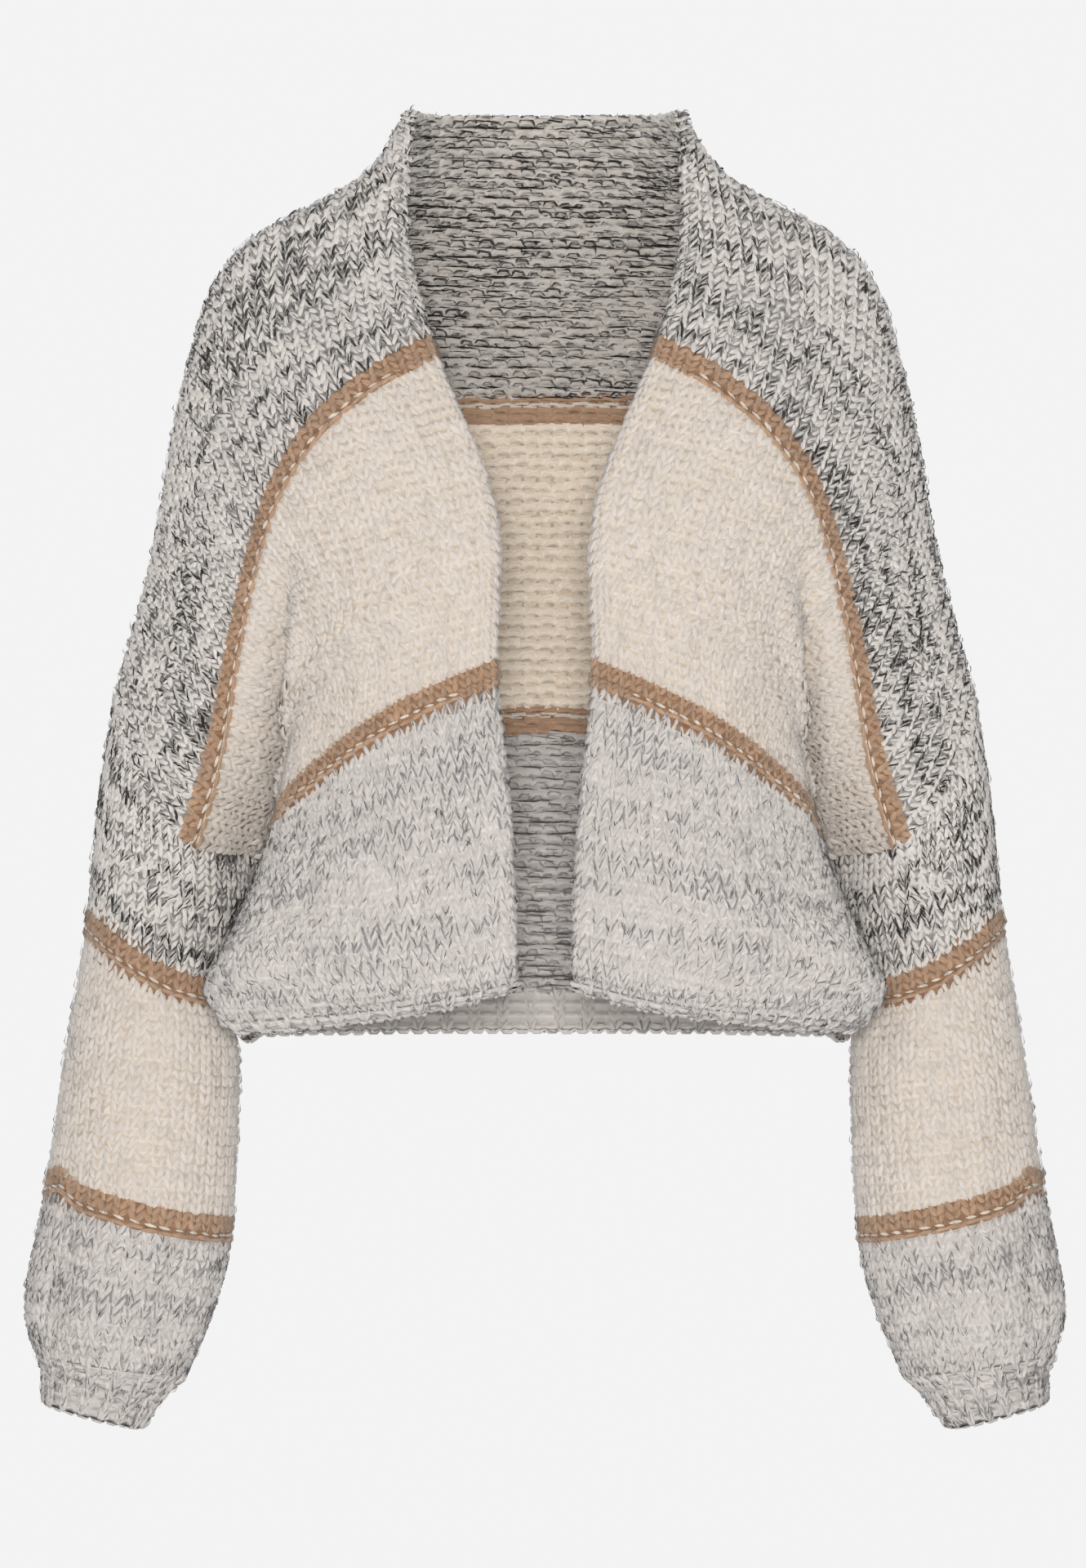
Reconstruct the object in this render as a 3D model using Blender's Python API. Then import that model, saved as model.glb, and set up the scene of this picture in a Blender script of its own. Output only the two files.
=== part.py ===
"""Open-front knit cardigan, filled out as if worn: back, two fronts, two sleeves, cuffs and hem bands.

The cloth is worked out in millimetres and built in metres. +Z is up, the fronts face -Y, and the origin
lies between the shoulder slopes, level with the neck's base. Each panel is a wall of even thickness
round a middle surface, and the middle surfaces meet edge to edge at every seam. Sections are given for
the +X half of the garment, and the other half mirrors it.
"""

import math

import bpy
import numpy as np

# ---- driving sizes, in millimetres ----
METRES_PER_MM = 0.001
WALL = 3.0  # thickness of the knitted cloth
SEAM_GAP = 0.5  # between two pieces at a seam
RIB_PITCH = 16.0  # one knit and one purl column of the 1x1 rib
RIB_HEIGHT = 1.3  # how far a rib stands out of the band
CUFF_GRIP = 0.6  # below 1 the cuff draws in soon below its seam
BAND_DEPTH = 24.0  # height of the hem band
BAND_TURN = math.radians(158.0)  # how far the front bands are turned in under the fronts
BAND_UNROLL = 4.0  # the front band unrolls over the last quarter of its length
SIDE_SEAM_FRONT = 0.4  # the side seam lies this far from the back's own edge to the front's
NECK_SHARE = 0.21  # part of the back's half width that is neck edge

# ---- grid sizes ----
FRONT_COLUMNS = 16
NECK_COLUMNS = 5
SLEEVE_STEPS = 20
FRONT_BAND_ROWS = 3
BACK_BAND_ROWS = 1
CUFF_ROWS = 3
POINTS_PER_RIB = 4
TRIANGLES_PER_CELL = 4  # two outside and two inside
SPLIT_SLANT = np.array([0.37, 0.61, 1.0])

# ---- sections of the front, from the hem up to the shoulder line: x, y, z at six places ----
# edge: open front edge; near, crown: the front's face; fold: where it turns round the side;
# tuck: inside the fold by the arm; end: side seam or armhole
FRONT_SECTIONS = (
    # name,      steps, edge,             near,             crown,            fold,             tuck,             end
    ("hem", 0, (16, -113, -452), (60, -118, -463), (112, -114, -470), (172, -90, -475), (180, -57, -471), (162, 10, -466)),
    ("widest", 2, (16, -124, -442), (60, -130, -450), (114, -127, -456), (185, -97, -456), (184, -57, -456), (161, 10, -457)),
    ("low", 2, (16, -128, -418), (60, -134, -426), (114, -130, -435), (176, -104, -436), (176, -56, -440), (158, 9, -444)),
    ("mid", 2, (20, -128, -350), (62, -132, -360), (110, -126, -378), (160, -98, -398), (162, -50, -414), (154, 8, -428)),
    ("stripe_low", 2, (27, -122, -280), (66, -125, -296), (105, -118, -318), (147, -92, -354), (154, -50, -388), (152, 7, -410)),
    ("cream", 4, (28, -113, -188), (70, -117, -202), (113, -106, -230), (138, -80, -272), (142, -50, -318), (160, 6, -386)),
    ("stripe_high", 4, (62, -86, -97), (104, -97, -122), (147, -86, -170), (170, -64, -240), (187, -52, -328), (201, -44, -376)),
    ("yoke", 3, (78, -36, -34), (116, -46, -60), (160, -48, -98), (191, -40, -165), (208, -32, -262), (234, -22, -330)),
    ("shoulder", 3, (78, 10, 41), (104, 6, 4), (176, 4, -40), (204, 4, -109), (223, 4, -212), (244, 5, -291)),
)

# ---- sections of the back, from the shoulder line down to the hem, from the centre outwards ----
BACK_SECTIONS = (
    # name,      steps, centre,          blade,            turn,             side,             tuck,             end
    ("yoke", 3, (0, 80, -40), (62, 77, -42), (122, 60, -62), (178, 44, -110), (206, 36, -240), (234, 30, -330)),
    ("stripe_high", 3, (0, 88, -125), (66, 87, -128), (126, 80, -150), (161, 70, -205), (186, 58, -300), (201, 50, -376)),
    ("cream", 4, (0, 95, -215), (70, 95, -218), (130, 84, -245), (154, 68, -300), (158, 44, -352), (160, 6, -386)),
    ("stripe_low", 4, (0, 100, -305), (70, 101, -307), (135, 94, -320), (162, 74, -350), (158, 46, -386), (152, 7, -410)),
    ("mid", 2, (0, 104, -370), (70, 106, -371), (140, 99, -380), (172, 78, -394), (164, 50, -412), (154, 8, -428)),
    ("low", 2, (0, 106, -425), (70, 109, -425), (142, 103, -430), (180, 82, -434), (170, 53, -440), (158, 9, -444)),
    ("widest", 2, (0, 105, -450), (70, 108, -450), (140, 102, -452), (180, 81, -453), (171, 53, -456), (161, 10, -457)),
    ("hem", 2, (0, 102, -461), (70, 104, -461), (138, 99, -462), (174, 80, -463), (168, 52, -466), (162, 10, -466)),
)
NECK_EDGE = ((0, 72, 45), (40, 66, 45), (68, 42, 43), (78, 10, 41))

# ---- sections of the sleeve below the armhole ring: outer and inner points in the front view ----
SLEEVE_SECTIONS = (
    # steps, outer x, outer z, inner x, inner z, half depth, centre y, bow
    (3, 253, -352, 171, -420, 47, 8, 16),
    (3, 260, -421, 180, -462, 50, 10, 9),
    (3, 272, -495, 176, -503, 54, 12, 4),
    (3, 283, -570, 180, -596, 54, 10, 3),
    (3, 295, -636, 190, -640, 53, 8, 0),
    (3, 289, -667, 206, -679, 42, 8, 0),
)
CUFF_END = (0, 285, -694, 231, -708, 28, 8, 0)

# ---- soft folds: panel, share across, share up, half width, half height, depth ----
FOLDS = (
    # panel,  across, up, width, height, depth (mm, minus is a trough)
    ("front", 0.16, 0.22, 0.050, 0.20, -3.0),
    ("front", 0.30, 0.12, 0.060, 0.16, 3.0),
    ("front", 0.44, 0.20, 0.050, 0.16, -3.5),
    ("front", 0.62, 0.08, 0.050, 0.12, -3.0),
    ("front", 0.22, 0.72, 0.060, 0.12, 2.5),
    ("front", 0.62, 0.84, 0.050, 0.10, -3.0),
    ("back", 0.10, 0.25, 0.060, 0.25, -3.0),
    ("back", 0.26, 0.18, 0.050, 0.22, 3.5),
    ("back", 0.38, 0.30, 0.050, 0.20, -3.5),
    ("back", 0.58, 0.20, 0.060, 0.18, -4.0),
    ("back", 0.70, 0.62, 0.050, 0.14, -4.0),
    ("sleeve", 0.08, 0.84, 0.040, 0.10, -3.0),
    ("sleeve", 0.22, 0.86, 0.045, 0.12, 3.0),
    ("sleeve", 0.34, 0.82, 0.040, 0.12, -3.5),
    ("sleeve", 0.66, 0.85, 0.045, 0.12, -3.5),
    ("sleeve", 0.80, 0.83, 0.045, 0.11, 3.0),
    ("sleeve", 0.45, 0.20, 0.060, 0.07, -3.0),
    ("sleeve", 0.55, 0.30, 0.060, 0.07, -3.0),
)

# ---- colour blocks: how many rows of the grid, from the first one, have each colour ----
PANEL_BLOCKS = ((7, "light_marl"), (1, "camel"), (7, "cream"), (1, "camel"), (6, "dark_marl"))
SLEEVE_BLOCKS = ((5, "dark_marl"), (1, "camel"), (5, "cream"), (1, "camel"), (6, "light_marl"))
BAND_BLOCKS = ((1, "light_marl"),)

COLOURS = {
    "light_marl": (0.62, 0.60, 0.58, 1.0),
    "dark_marl": (0.34, 0.33, 0.33, 1.0),
    "cream": (0.76, 0.67, 0.56, 1.0),
    "camel": (0.42, 0.25, 0.13, 1.0),
}
WOOL_ROUGHNESS = 0.95


# ---- curves ----
def catmull_rom(points, steps):
    """A smooth line through the points, with the given number of steps in each span."""
    points = np.asarray(points, dtype=float)
    first = 2 * points[0] - points[1]
    last = 2 * points[-1] - points[-2]
    padded = np.vstack([first, points, last])
    line = [points[0]]
    for span, count in enumerate(steps):
        a, b, c, d = padded[span : span + 4]
        for step in range(1, count + 1):
            t = step / count
            line.append(
                0.5
                * (
                    2 * b
                    + (c - a) * t
                    + (2 * a - 5 * b + 4 * c - d) * t**2
                    + (3 * b - a - 3 * c + d) * t**3
                )
            )
    return np.array(line)


def smooth_line(points, fine=12):
    return catmull_rom(points, [fine] * (len(points) - 1))


def at_shares(line, shares):
    """Points on the line at the given shares of its length."""
    length = np.concatenate([[0.0], np.cumsum(np.linalg.norm(np.diff(line, axis=0), axis=1))])
    wanted = np.asarray(shares) * length[-1]
    return np.stack([np.interp(wanted, length, line[:, axis]) for axis in range(3)], axis=1)


def with_folds(panel, grid, out):
    """The grid moved along its outward directions by the panel's soft folds."""
    ups = np.linspace(0.0, 1.0, grid.shape[0])[:, None]
    acrosses = np.linspace(0.0, 1.0, grid.shape[1])[None, :]
    fade = np.minimum(1.0, 8.0 * np.minimum(acrosses, 1.0 - acrosses))
    fade = fade * np.minimum(1.0, 8.0 * np.minimum(ups, 1.0 - ups))
    moved = np.zeros(grid.shape[:2])
    for name, across, up, width, height, depth in FOLDS:
        if name == panel:
            moved += depth * np.exp(-(((acrosses - across) / width) ** 2) - ((ups - up) / height) ** 2)
    return grid + out * (moved * fade)[:, :, None]


def unit(vectors):
    return vectors / np.linalg.norm(vectors, axis=-1, keepdims=True)


def grid_normals(grid):
    """Unit normals of an open grid of points, rows by columns."""
    return unit(np.cross(np.gradient(grid, axis=1), np.gradient(grid, axis=0)))


def tube_normals(grid):
    """Unit normals of a tube whose last column repeats its first."""
    ring = grid[:, :-1]
    across = np.roll(ring, -1, axis=1) - np.roll(ring, 1, axis=1)
    return closed_columns(unit(np.cross(across, np.gradient(ring, axis=0))))


# ---- middle surfaces of the +X half ----
def body_grids():
    """The front and the back half: rows from the hem up, columns towards the armhole and side seam.

    Beyond the neck corner, front and back run over the shoulder line as one smooth surface.
    """
    front_shares = np.linspace(0.0, 1.0, FRONT_COLUMNS + 1)
    neck_shares = np.linspace(0.0, 1.0, NECK_COLUMNS + 1)
    back_shares = np.concatenate([neck_shares * NECK_SHARE, NECK_SHARE + (1 - NECK_SHARE) * front_shares[1:]])
    front_keys = [at_shares(smooth_line(section[2:]), front_shares) for section in FRONT_SECTIONS]
    neck = at_shares(smooth_line(NECK_EDGE), neck_shares)
    back_keys = [at_shares(smooth_line(section[2:]), back_shares) for section in BACK_SECTIONS]
    front_steps = [section[1] for section in FRONT_SECTIONS[1:]]
    back_steps = [section[1] for section in BACK_SECTIONS]
    shoulder_row = sum(front_steps)

    over = []
    for column in range(FRONT_COLUMNS + 1):
        points = [key[column] for key in front_keys] + [key[NECK_COLUMNS + column] for key in back_keys]
        over.append(catmull_rom(points, front_steps + back_steps))
    over = np.stack(over, axis=1)
    below_neck = []
    for column in range(NECK_COLUMNS):
        points = [neck[column]] + [key[column] for key in back_keys]
        below_neck.append(catmull_rom(points, back_steps))
    front = over[: shoulder_row + 1]
    back = np.concatenate([np.stack(below_neck, axis=1), over[shoulder_row:]], axis=1)[::-1]
    front = with_folds("front", front, grid_normals(front))
    back = with_folds("back", back, -grid_normals(back))
    underarm = side_seam_row()
    side_seam = SIDE_SEAM_FRONT * front[:underarm, -1] + (1 - SIDE_SEAM_FRONT) * back[:underarm, -1]
    front[:underarm, -1] = side_seam
    back[:underarm, -1] = side_seam
    return front, back


def side_seam_row():
    """The row at which the underarm lies, counted up from the hem."""
    names = [section[0] for section in FRONT_SECTIONS]
    return sum(section[1] for section in FRONT_SECTIONS[: names.index("cream") + 1])


def armhole_ring(front, back):
    """The armhole's points from its outer end down the front to the underarm and up the back."""
    underarm = side_seam_row()
    return np.vstack([front[underarm:, -1][::-1], back[underarm + 1 : -1, -1]])


def sleeve_ring(section, count):
    """One ring of the sleeve, in the same order as the armhole's points."""
    _, outer_x, outer_z, inner_x, inner_z, depth, centre_y, bow = section
    angles = 2 * math.pi * np.arange(count) / count
    centre = np.array([(outer_x + inner_x) / 2, centre_y, (outer_z + inner_z) / 2])
    half = np.array([(outer_x - inner_x) / 2, 0.0, (outer_z - inner_z) / 2])
    front = np.array([0.0, -depth, 0.0])
    down = np.array([0.0, 0.0, -bow])
    return np.array([centre + half * math.cos(a) + front * math.sin(a) + down * math.sin(a) ** 2 for a in angles])


def closed_columns(grid):
    """The grid with its first column repeated at its end."""
    return np.concatenate([grid, grid[:, :1]], axis=1)


def sleeve_grid(armhole):
    """Rows from the armhole to the cuff seam, columns round the arm, the first one outermost."""
    rings = [armhole] + [sleeve_ring(section, SLEEVE_STEPS) for section in SLEEVE_SECTIONS]
    steps = [section[0] for section in SLEEVE_SECTIONS]
    columns = [catmull_rom([ring[i] for ring in rings], steps) for i in range(SLEEVE_STEPS)]
    grid = closed_columns(np.stack(columns, axis=1))
    return closed_columns(with_folds("sleeve", grid, tube_normals(grid))[:, :-1])


def seam_row(line, normals):
    """Points and normals of a ribbed piece's seam, at an even spacing of a quarter rib, and the ribs."""
    length = float(np.linalg.norm(np.diff(line, axis=0), axis=1).sum())
    ribs = round(length / RIB_PITCH)
    shares = np.linspace(0.0, 1.0, ribs * POINTS_PER_RIB + 1)
    stand_out = RIB_HEIGHT * (0.5 - 0.5 * np.cos(2 * math.pi * ribs * shares))
    lengths = np.concatenate([[0.0], np.cumsum(np.linalg.norm(np.diff(line, axis=0), axis=1))])
    out = np.stack([np.interp(shares * length, lengths, normals[:, axis]) for axis in range(3)], axis=1)
    return at_shares(line, shares), unit(out), shares, stand_out


def cuff_grid(sleeve, sleeve_out):
    """Rows from the cuff seam to the open end, their normals and the ribs."""
    seam, seam_out, shares, ribs = seam_row(sleeve[-1], sleeve_out[-1])
    end = at_shares(closed_columns(sleeve_ring(CUFF_END, SLEEVE_STEPS)[None])[0], shares)
    rows = []
    for step in range(CUFF_ROWS + 1):
        along = step / CUFF_ROWS
        drawn_in = along**CUFF_GRIP
        middle = seam.mean(axis=0) * (1 - along) + end.mean(axis=0) * along
        shape = (seam - seam.mean(axis=0)) * (1 - drawn_in) + (end - end.mean(axis=0)) * drawn_in
        rows.append(middle + shape)
    grid = np.stack(rows)
    out = tube_normals(grid)
    out[0] = seam_out
    return grid, out, np.repeat(ribs[None], CUFF_ROWS + 1, axis=0)


def band_grid(panel, panel_out, turn, band_rows):
    """Rows from the hem band's free edge up to its seam, their normals and the ribs.

    The band is rolled in by the angle turn, and unrolls towards the side seam.
    """
    seam, seam_out, shares, ribs = seam_row(panel[0], panel_out[0])
    inward = -unit(seam_out * np.array([1.0, 1.0, 0.0]))
    down = np.array([0.0, 0.0, -1.0])
    turns = turn * np.clip((1.0 - shares) * BAND_UNROLL, 0.0, 1.0)[:, None]
    rows = [seam]
    for row in range(band_rows):
        angle = turns * (row + 1) / band_rows
        rows.append(rows[-1] + BAND_DEPTH / band_rows * (down * np.cos(angle) + inward * np.sin(angle)))
    grid = np.stack(rows[::-1])
    out = grid_normals(grid)
    out[-1] = seam_out
    return grid, out, np.repeat(ribs[None], band_rows + 1, axis=0)


# ---- walls ----
# A grid's outward side is the one that its column direction crossed with its row direction points to.
def mirror(grid):
    """The same cloth on the other side of the garment, still facing out."""
    return (grid * np.array([-1.0, 1.0, 1.0]))[:, ::-1]


class Welded:
    """Normals shared by all the middle surfaces, so that walls meet squarely at their seams."""

    def __init__(self, grids):
        self.sums = {}
        for grid in grids:
            self.add(grid)

    @staticmethod
    def key(point):
        return tuple(int(round(float(value) * 100)) for value in point)

    def add(self, grid):
        corners = (grid[:-1, :-1], grid[:-1, 1:], grid[1:, 1:], grid[1:, :-1])
        faces = unit(np.cross(corners[2] - corners[0], corners[3] - corners[1]))
        for corner in corners:
            for point, face in zip(corner.reshape(-1, 3), faces.reshape(-1, 3)):
                key = self.key(point)
                self.sums[key] = self.sums.get(key, 0.0) + face

    def normals(self, grid):
        found = np.array([self.sums[self.key(point)] for point in grid.reshape(-1, 3)]).reshape(grid.shape)
        return unit(found)


def pulled_back(grid, *sides):
    """The grid with the named edges moved in by half a seam gap."""
    moved = grid.copy()
    rows = {"first_row": (0, 1), "last_row": (-1, -2)}
    columns = {"first_column": (0, 1), "last_column": (-1, -2)}
    for side in sides:
        if side in rows:
            edge, beside = rows[side]
            moved[edge] += unit(grid[beside] - grid[edge]) * SEAM_GAP / 2
        else:
            edge, beside = columns[side]
            moved[:, edge] += unit(grid[:, beside] - grid[:, edge]) * SEAM_GAP / 2
    return moved


def split(face, points):
    """Two triangles, cut the same way on both sides of a seam: from the corner lowest along a slant."""
    start = int(np.argmin(points[face] @ SPLIT_SLANT))
    turned = face[start:] + face[:start]
    return (turned[:3], [turned[0], turned[2], turned[3]])


def wall_mesh(name, grid, normals, raised=None, mirrored=False):
    """One closed wall round a middle surface; a tube's last column is its first one again."""
    rows, columns = grid.shape[:2]
    raised = np.zeros((rows, columns)) if raised is None else raised
    tube = np.linalg.norm(grid[:, 0] - grid[:, -1], axis=1).max() < SEAM_GAP / 10
    if tube:
        columns -= 1
        grid, normals, raised = grid[:, :-1], normals[:, :-1], raised[:, :-1]
    outer = grid + normals * (WALL / 2 + raised)[:, :, None]
    inner = grid - normals * WALL / 2
    points = np.concatenate([outer.reshape(-1, 3), inner.reshape(-1, 3)]) * METRES_PER_MM

    def at(layer, row, column):
        return (layer * rows + row) * columns + column % columns

    faces = []
    last_row = rows - 1
    last_column = columns - 1
    for row in range(last_row):
        for column in range(columns if tube else last_column):
            ring = ((row, column), (row, column + 1), (row + 1, column + 1), (row + 1, column))
            faces.append([at(0, *corner) for corner in ring])
            faces.append([at(1, *corner) for corner in reversed(ring)])
    for column in range(columns if tube else last_column):
        faces.append([at(0, 0, column + 1), at(0, 0, column), at(1, 0, column), at(1, 0, column + 1)])
        rim = (at(0, last_row, column), at(0, last_row, column + 1))
        faces.append([*rim, at(1, last_row, column + 1), at(1, last_row, column)])
    if not tube:
        for row in range(last_row):
            faces.append([at(0, row, 0), at(0, row + 1, 0), at(1, row + 1, 0), at(1, row, 0)])
            rim = (at(0, row + 1, last_column), at(0, row, last_column))
            faces.append([*rim, at(1, row, last_column), at(1, row + 1, last_column)])
    faces = [triangle for face in faces for triangle in split(face, points)]
    if mirrored:
        points = points * np.array([-1.0, 1.0, 1.0])
        faces = [face[::-1] for face in faces]
    mesh = bpy.data.meshes.new(name)
    mesh.from_pydata(points.tolist(), [], faces)
    mesh.update()
    mesh.shade_smooth()
    mesh.set_sharp_from_angle(angle=math.radians(60.0))
    return mesh


def wool(name):
    material = bpy.data.materials.get(name)
    if material is None:
        material = bpy.data.materials.new(name)
        material.use_nodes = True
        shader = material.node_tree.nodes["Principled BSDF"]
        shader.inputs["Base Color"].default_value = COLOURS[name]
        shader.inputs["Roughness"].default_value = WOOL_ROUGHNESS
        material.diffuse_color = COLOURS[name]
    return material


def add_piece(name, mesh, blocks, columns):
    """Adds the piece; blocks names the colour of each number of rows, and a row has this many columns."""
    rows = [colour for count, colour in blocks for _ in range(count)]
    colours = sorted(set(rows))
    for colour in colours:
        mesh.materials.append(wool(colour))
    for number, face in enumerate(mesh.polygons):
        row = min(number // (TRIANGLES_PER_CELL * columns), len(rows) - 1)
        face.material_index = colours.index(rows[row])
    piece = bpy.data.objects.new(name, mesh)
    bpy.context.scene.collection.objects.link(piece)


def main():
    for leftover in list(bpy.data.objects):
        bpy.data.objects.remove(leftover, do_unlink=True)

    front, back = body_grids()
    sleeve = sleeve_grid(armhole_ring(front, back))
    whole_back = np.concatenate([back[:, ::-1], mirror(back[:, ::-1])[:, 1:]], axis=1)

    weld = Welded((front, mirror(front), whole_back, sleeve, mirror(sleeve)))
    front_out = weld.normals(front)
    back_out = weld.normals(whole_back)
    sleeve_out = weld.normals(sleeve)

    grid = pulled_back(front, "first_row", "last_row", "last_column")
    for name, mirrored in (("front_right", False), ("front_left", True)):
        mesh = wall_mesh(name, grid, front_out, mirrored=mirrored)
        add_piece(name, mesh, PANEL_BLOCKS, FRONT_COLUMNS)

    grid = pulled_back(whole_back, "first_row", "last_row", "first_column", "last_column")
    mesh = wall_mesh("back", grid, back_out)
    add_piece("back", mesh, PANEL_BLOCKS, whole_back.shape[1] - 1)

    grid = pulled_back(sleeve, "first_row", "last_row")
    for name, mirrored in (("sleeve_right", False), ("sleeve_left", True)):
        mesh = wall_mesh(name, grid, sleeve_out, mirrored=mirrored)
        add_piece(name, mesh, SLEEVE_BLOCKS, SLEEVE_STEPS)

    cuff, cuff_out, ribs = cuff_grid(sleeve, sleeve_out)
    grid = pulled_back(cuff, "first_row")
    for name, mirrored in (("cuff_right", False), ("cuff_left", True)):
        add_piece(name, wall_mesh(name, grid, cuff_out, ribs, mirrored), BAND_BLOCKS, 1)

    band, band_out, ribs = band_grid(whole_back, back_out, 0.0, BACK_BAND_ROWS)
    grid = pulled_back(band, "last_row", "first_column", "last_column")
    add_piece("hem_band_back", wall_mesh("hem_band_back", grid, band_out, ribs), BAND_BLOCKS, 1)

    band, band_out, ribs = band_grid(front, front_out, BAND_TURN, FRONT_BAND_ROWS)
    grid = pulled_back(band, "last_row", "last_column")
    for name, mirrored in (("hem_band_right", False), ("hem_band_left", True)):
        add_piece(name, wall_mesh(name, grid, band_out, ribs, mirrored), BAND_BLOCKS, 1)


main()
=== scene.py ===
"""Open-front knit cardigan, filled out as if worn: chunky brushed wool in marl, camel and cream blocks.

Lengths are in millimetres until a mesh is made, in the frame's own axes: +Z up, the fronts face -Y.
Every panel is a thin knitted wall with its stitches laid on it one by one: knit columns outside, purl
bumps inside the back, ridges and dashes in the camel stripes, and loose hairs of the brushed yarn.
"""

import copy
import math
from collections import namedtuple

import bpy
import numpy as np
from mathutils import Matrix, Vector


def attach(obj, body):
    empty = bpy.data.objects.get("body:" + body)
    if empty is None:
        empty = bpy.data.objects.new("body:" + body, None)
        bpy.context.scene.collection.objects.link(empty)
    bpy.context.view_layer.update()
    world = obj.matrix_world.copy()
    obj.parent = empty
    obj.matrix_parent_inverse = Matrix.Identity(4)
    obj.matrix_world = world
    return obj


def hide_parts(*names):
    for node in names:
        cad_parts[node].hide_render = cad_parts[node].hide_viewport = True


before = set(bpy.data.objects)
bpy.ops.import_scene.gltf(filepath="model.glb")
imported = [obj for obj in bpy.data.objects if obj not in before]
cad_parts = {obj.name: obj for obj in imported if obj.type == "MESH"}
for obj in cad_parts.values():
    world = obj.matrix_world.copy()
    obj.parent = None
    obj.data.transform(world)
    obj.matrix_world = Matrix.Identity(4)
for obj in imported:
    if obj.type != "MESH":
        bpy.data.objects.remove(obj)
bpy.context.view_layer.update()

# ---- the knitting ----
METRES_PER_MM = 0.001
MM_PER_METRE = 1000.0
WALL = 2.4  # the cloth under its stitches
SET_IN = 1.0  # the stitched cloth lies this far inside the solid's middle, so its stitches end near its skin
WALE = 8.6  # width of one stitch
COURSE = 6.6  # height of one stitch
TIGHTEST_COURSE = 5.0  # courses that would lie closer than this are hidden in the fold by the arm
YARN_HEIGHT = 2.4  # how far a knit stitch stands out of the cloth
SUNK = 0.4  # how deep a stitch is set in the cloth
# how far the shading of each kind of strand follows the cloth and not the strand itself
SOFTNESS = {"hair": 0.9, "ply": 0.7, "purl": 0.45, "ridge": 0.4, "dash": 0.6, "knit": 0.42}
# how far the surface of each kind of strand strays from an even one
YARN_UNEVEN = {"hair": 0.0, "ply": 0.05, "purl": 0.12, "ridge": 0.16, "dash": 0.08, "knit": 0.13}
FRONT_WALES = 36
SLEEVE_WALES = 37
SIDE_SEAM_FRONT = 0.4  # the side seam lies this far from the back's own edge to the front's
NECK_SHARE = 0.21  # this much of the back's half width lies below the neck edge
INSIDE_RAISED = 0.9  # the bumps inside stand this much further in, so their ends stay inside the wall
BETWEEN_SUNK = 1.1  # and the half rows between them lie this much deeper
INSIDE_REACH = 118.0  # half width of the inside of the back that shows between the fronts
NECK_PLAY = 1.0  # the neck edge is the top row down to this far below its corner
NECK_LOWERED = 2.4  # the cloth of the neck ends this far below the solid, to leave room for its edge bumps
EDGE_LOWERED = 0.8  # the bumps of the neck edge lie this far below the cloth's own edge
RIB_PITCH = 16.0  # one knit and one purl column of the 1x1 rib
RIB_HEIGHT = 1.3  # how far a rib stands out of the band
HAIRS_PER_STITCH = {"dark_marl": 1.3, "light_marl": 1.3, "cream": 1.4, "camel": 7.0}
PLIES_PER_STITCH = 1.7  # visible runs of the marl's dark ply
POOL_WALES = 7.0  # how many stitches a dark run of the marl is long
LEAST_PLY = {"dark_marl": 0.22, "light_marl": 0.30}  # share of the runs that show where the marl is palest
LEAST_INSIDE_PLY = {"dark_marl": 0.5, "light_marl": 0.25}
# how far a stitch turns square to its own course where the columns lean
STRIPE_SQUARED = 0.95
PLAIN_SQUARED = 0.3
PLY_SIZE = {"dark_marl": 1.0, "light_marl": 0.60}  # length and width of a run of dark ply
PLY_STRAY = {"dark_marl": 0.11, "light_marl": 0.20}  # how far it strays from the leg it lies on, in radians
LEG_LEAN = 0.36  # how far a leg of a stitch leans from the column, in radians
BAND_DEPTH = 24.0
BAND_TURN = math.radians(158.0)  # how far the fronts' bands are turned in under the hem
BAND_UNROLL = 4.0  # the turn runs out over this part of one, the last quarter, to the side seam
BAND_ROWS = 9
BAND_BENDS = 3  # the turn is made in this many bends
BAND_TAPER = 0.45  # how much shallower the band is drawn at the side seams
BAND_TAPER_REACH = 5.0  # the back's band tapers over this part of one, the outer fifth of either half
CUFF_GRIP = 0.6  # less draws the cuff in sooner below its seam
FINE = 3  # steps of the fine surface for each step of the solid's

# ---- sections of the front, from the hem up: x, y, z at the edge, near it, crown, fold, tuck, end ----
FRONT_SECTIONS = (
    # name, steps, the first three places, then the last three
    ("hem", 0, (16, -113, -452), (60, -118, -463), (112, -114, -470),
     (172, -90, -475), (180, -57, -471), (162, 10, -466)),
    ("widest", 2, (16, -124, -442), (60, -130, -450), (114, -127, -456),
     (185, -97, -456), (184, -57, -456), (161, 10, -457)),
    ("low", 2, (16, -128, -418), (60, -134, -426), (114, -130, -435),
     (176, -104, -436), (176, -56, -440), (158, 9, -444)),
    ("mid", 2, (20, -128, -350), (62, -132, -360), (110, -126, -378),
     (160, -98, -398), (162, -50, -414), (154, 8, -428)),
    ("stripe_low", 2, (27, -122, -280), (66, -125, -296), (105, -118, -318),
     (147, -92, -354), (154, -50, -388), (152, 7, -410)),
    ("cream", 4, (28, -113, -188), (70, -117, -202), (113, -106, -230),
     (138, -80, -272), (142, -50, -318), (160, 6, -386)),
    ("stripe_high", 4, (62, -86, -97), (104, -97, -122), (147, -86, -170),
     (170, -64, -240), (187, -52, -328), (201, -44, -376)),
    ("yoke", 3, (78, -36, -34), (116, -46, -60), (160, -48, -98),
     (191, -40, -165), (208, -32, -262), (234, -22, -330)),
    ("shoulder", 3, (78, 10, 41), (104, 6, 4), (176, 4, -40),
     (204, 4, -109), (223, 4, -212), (244, 5, -291)),
)

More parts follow.
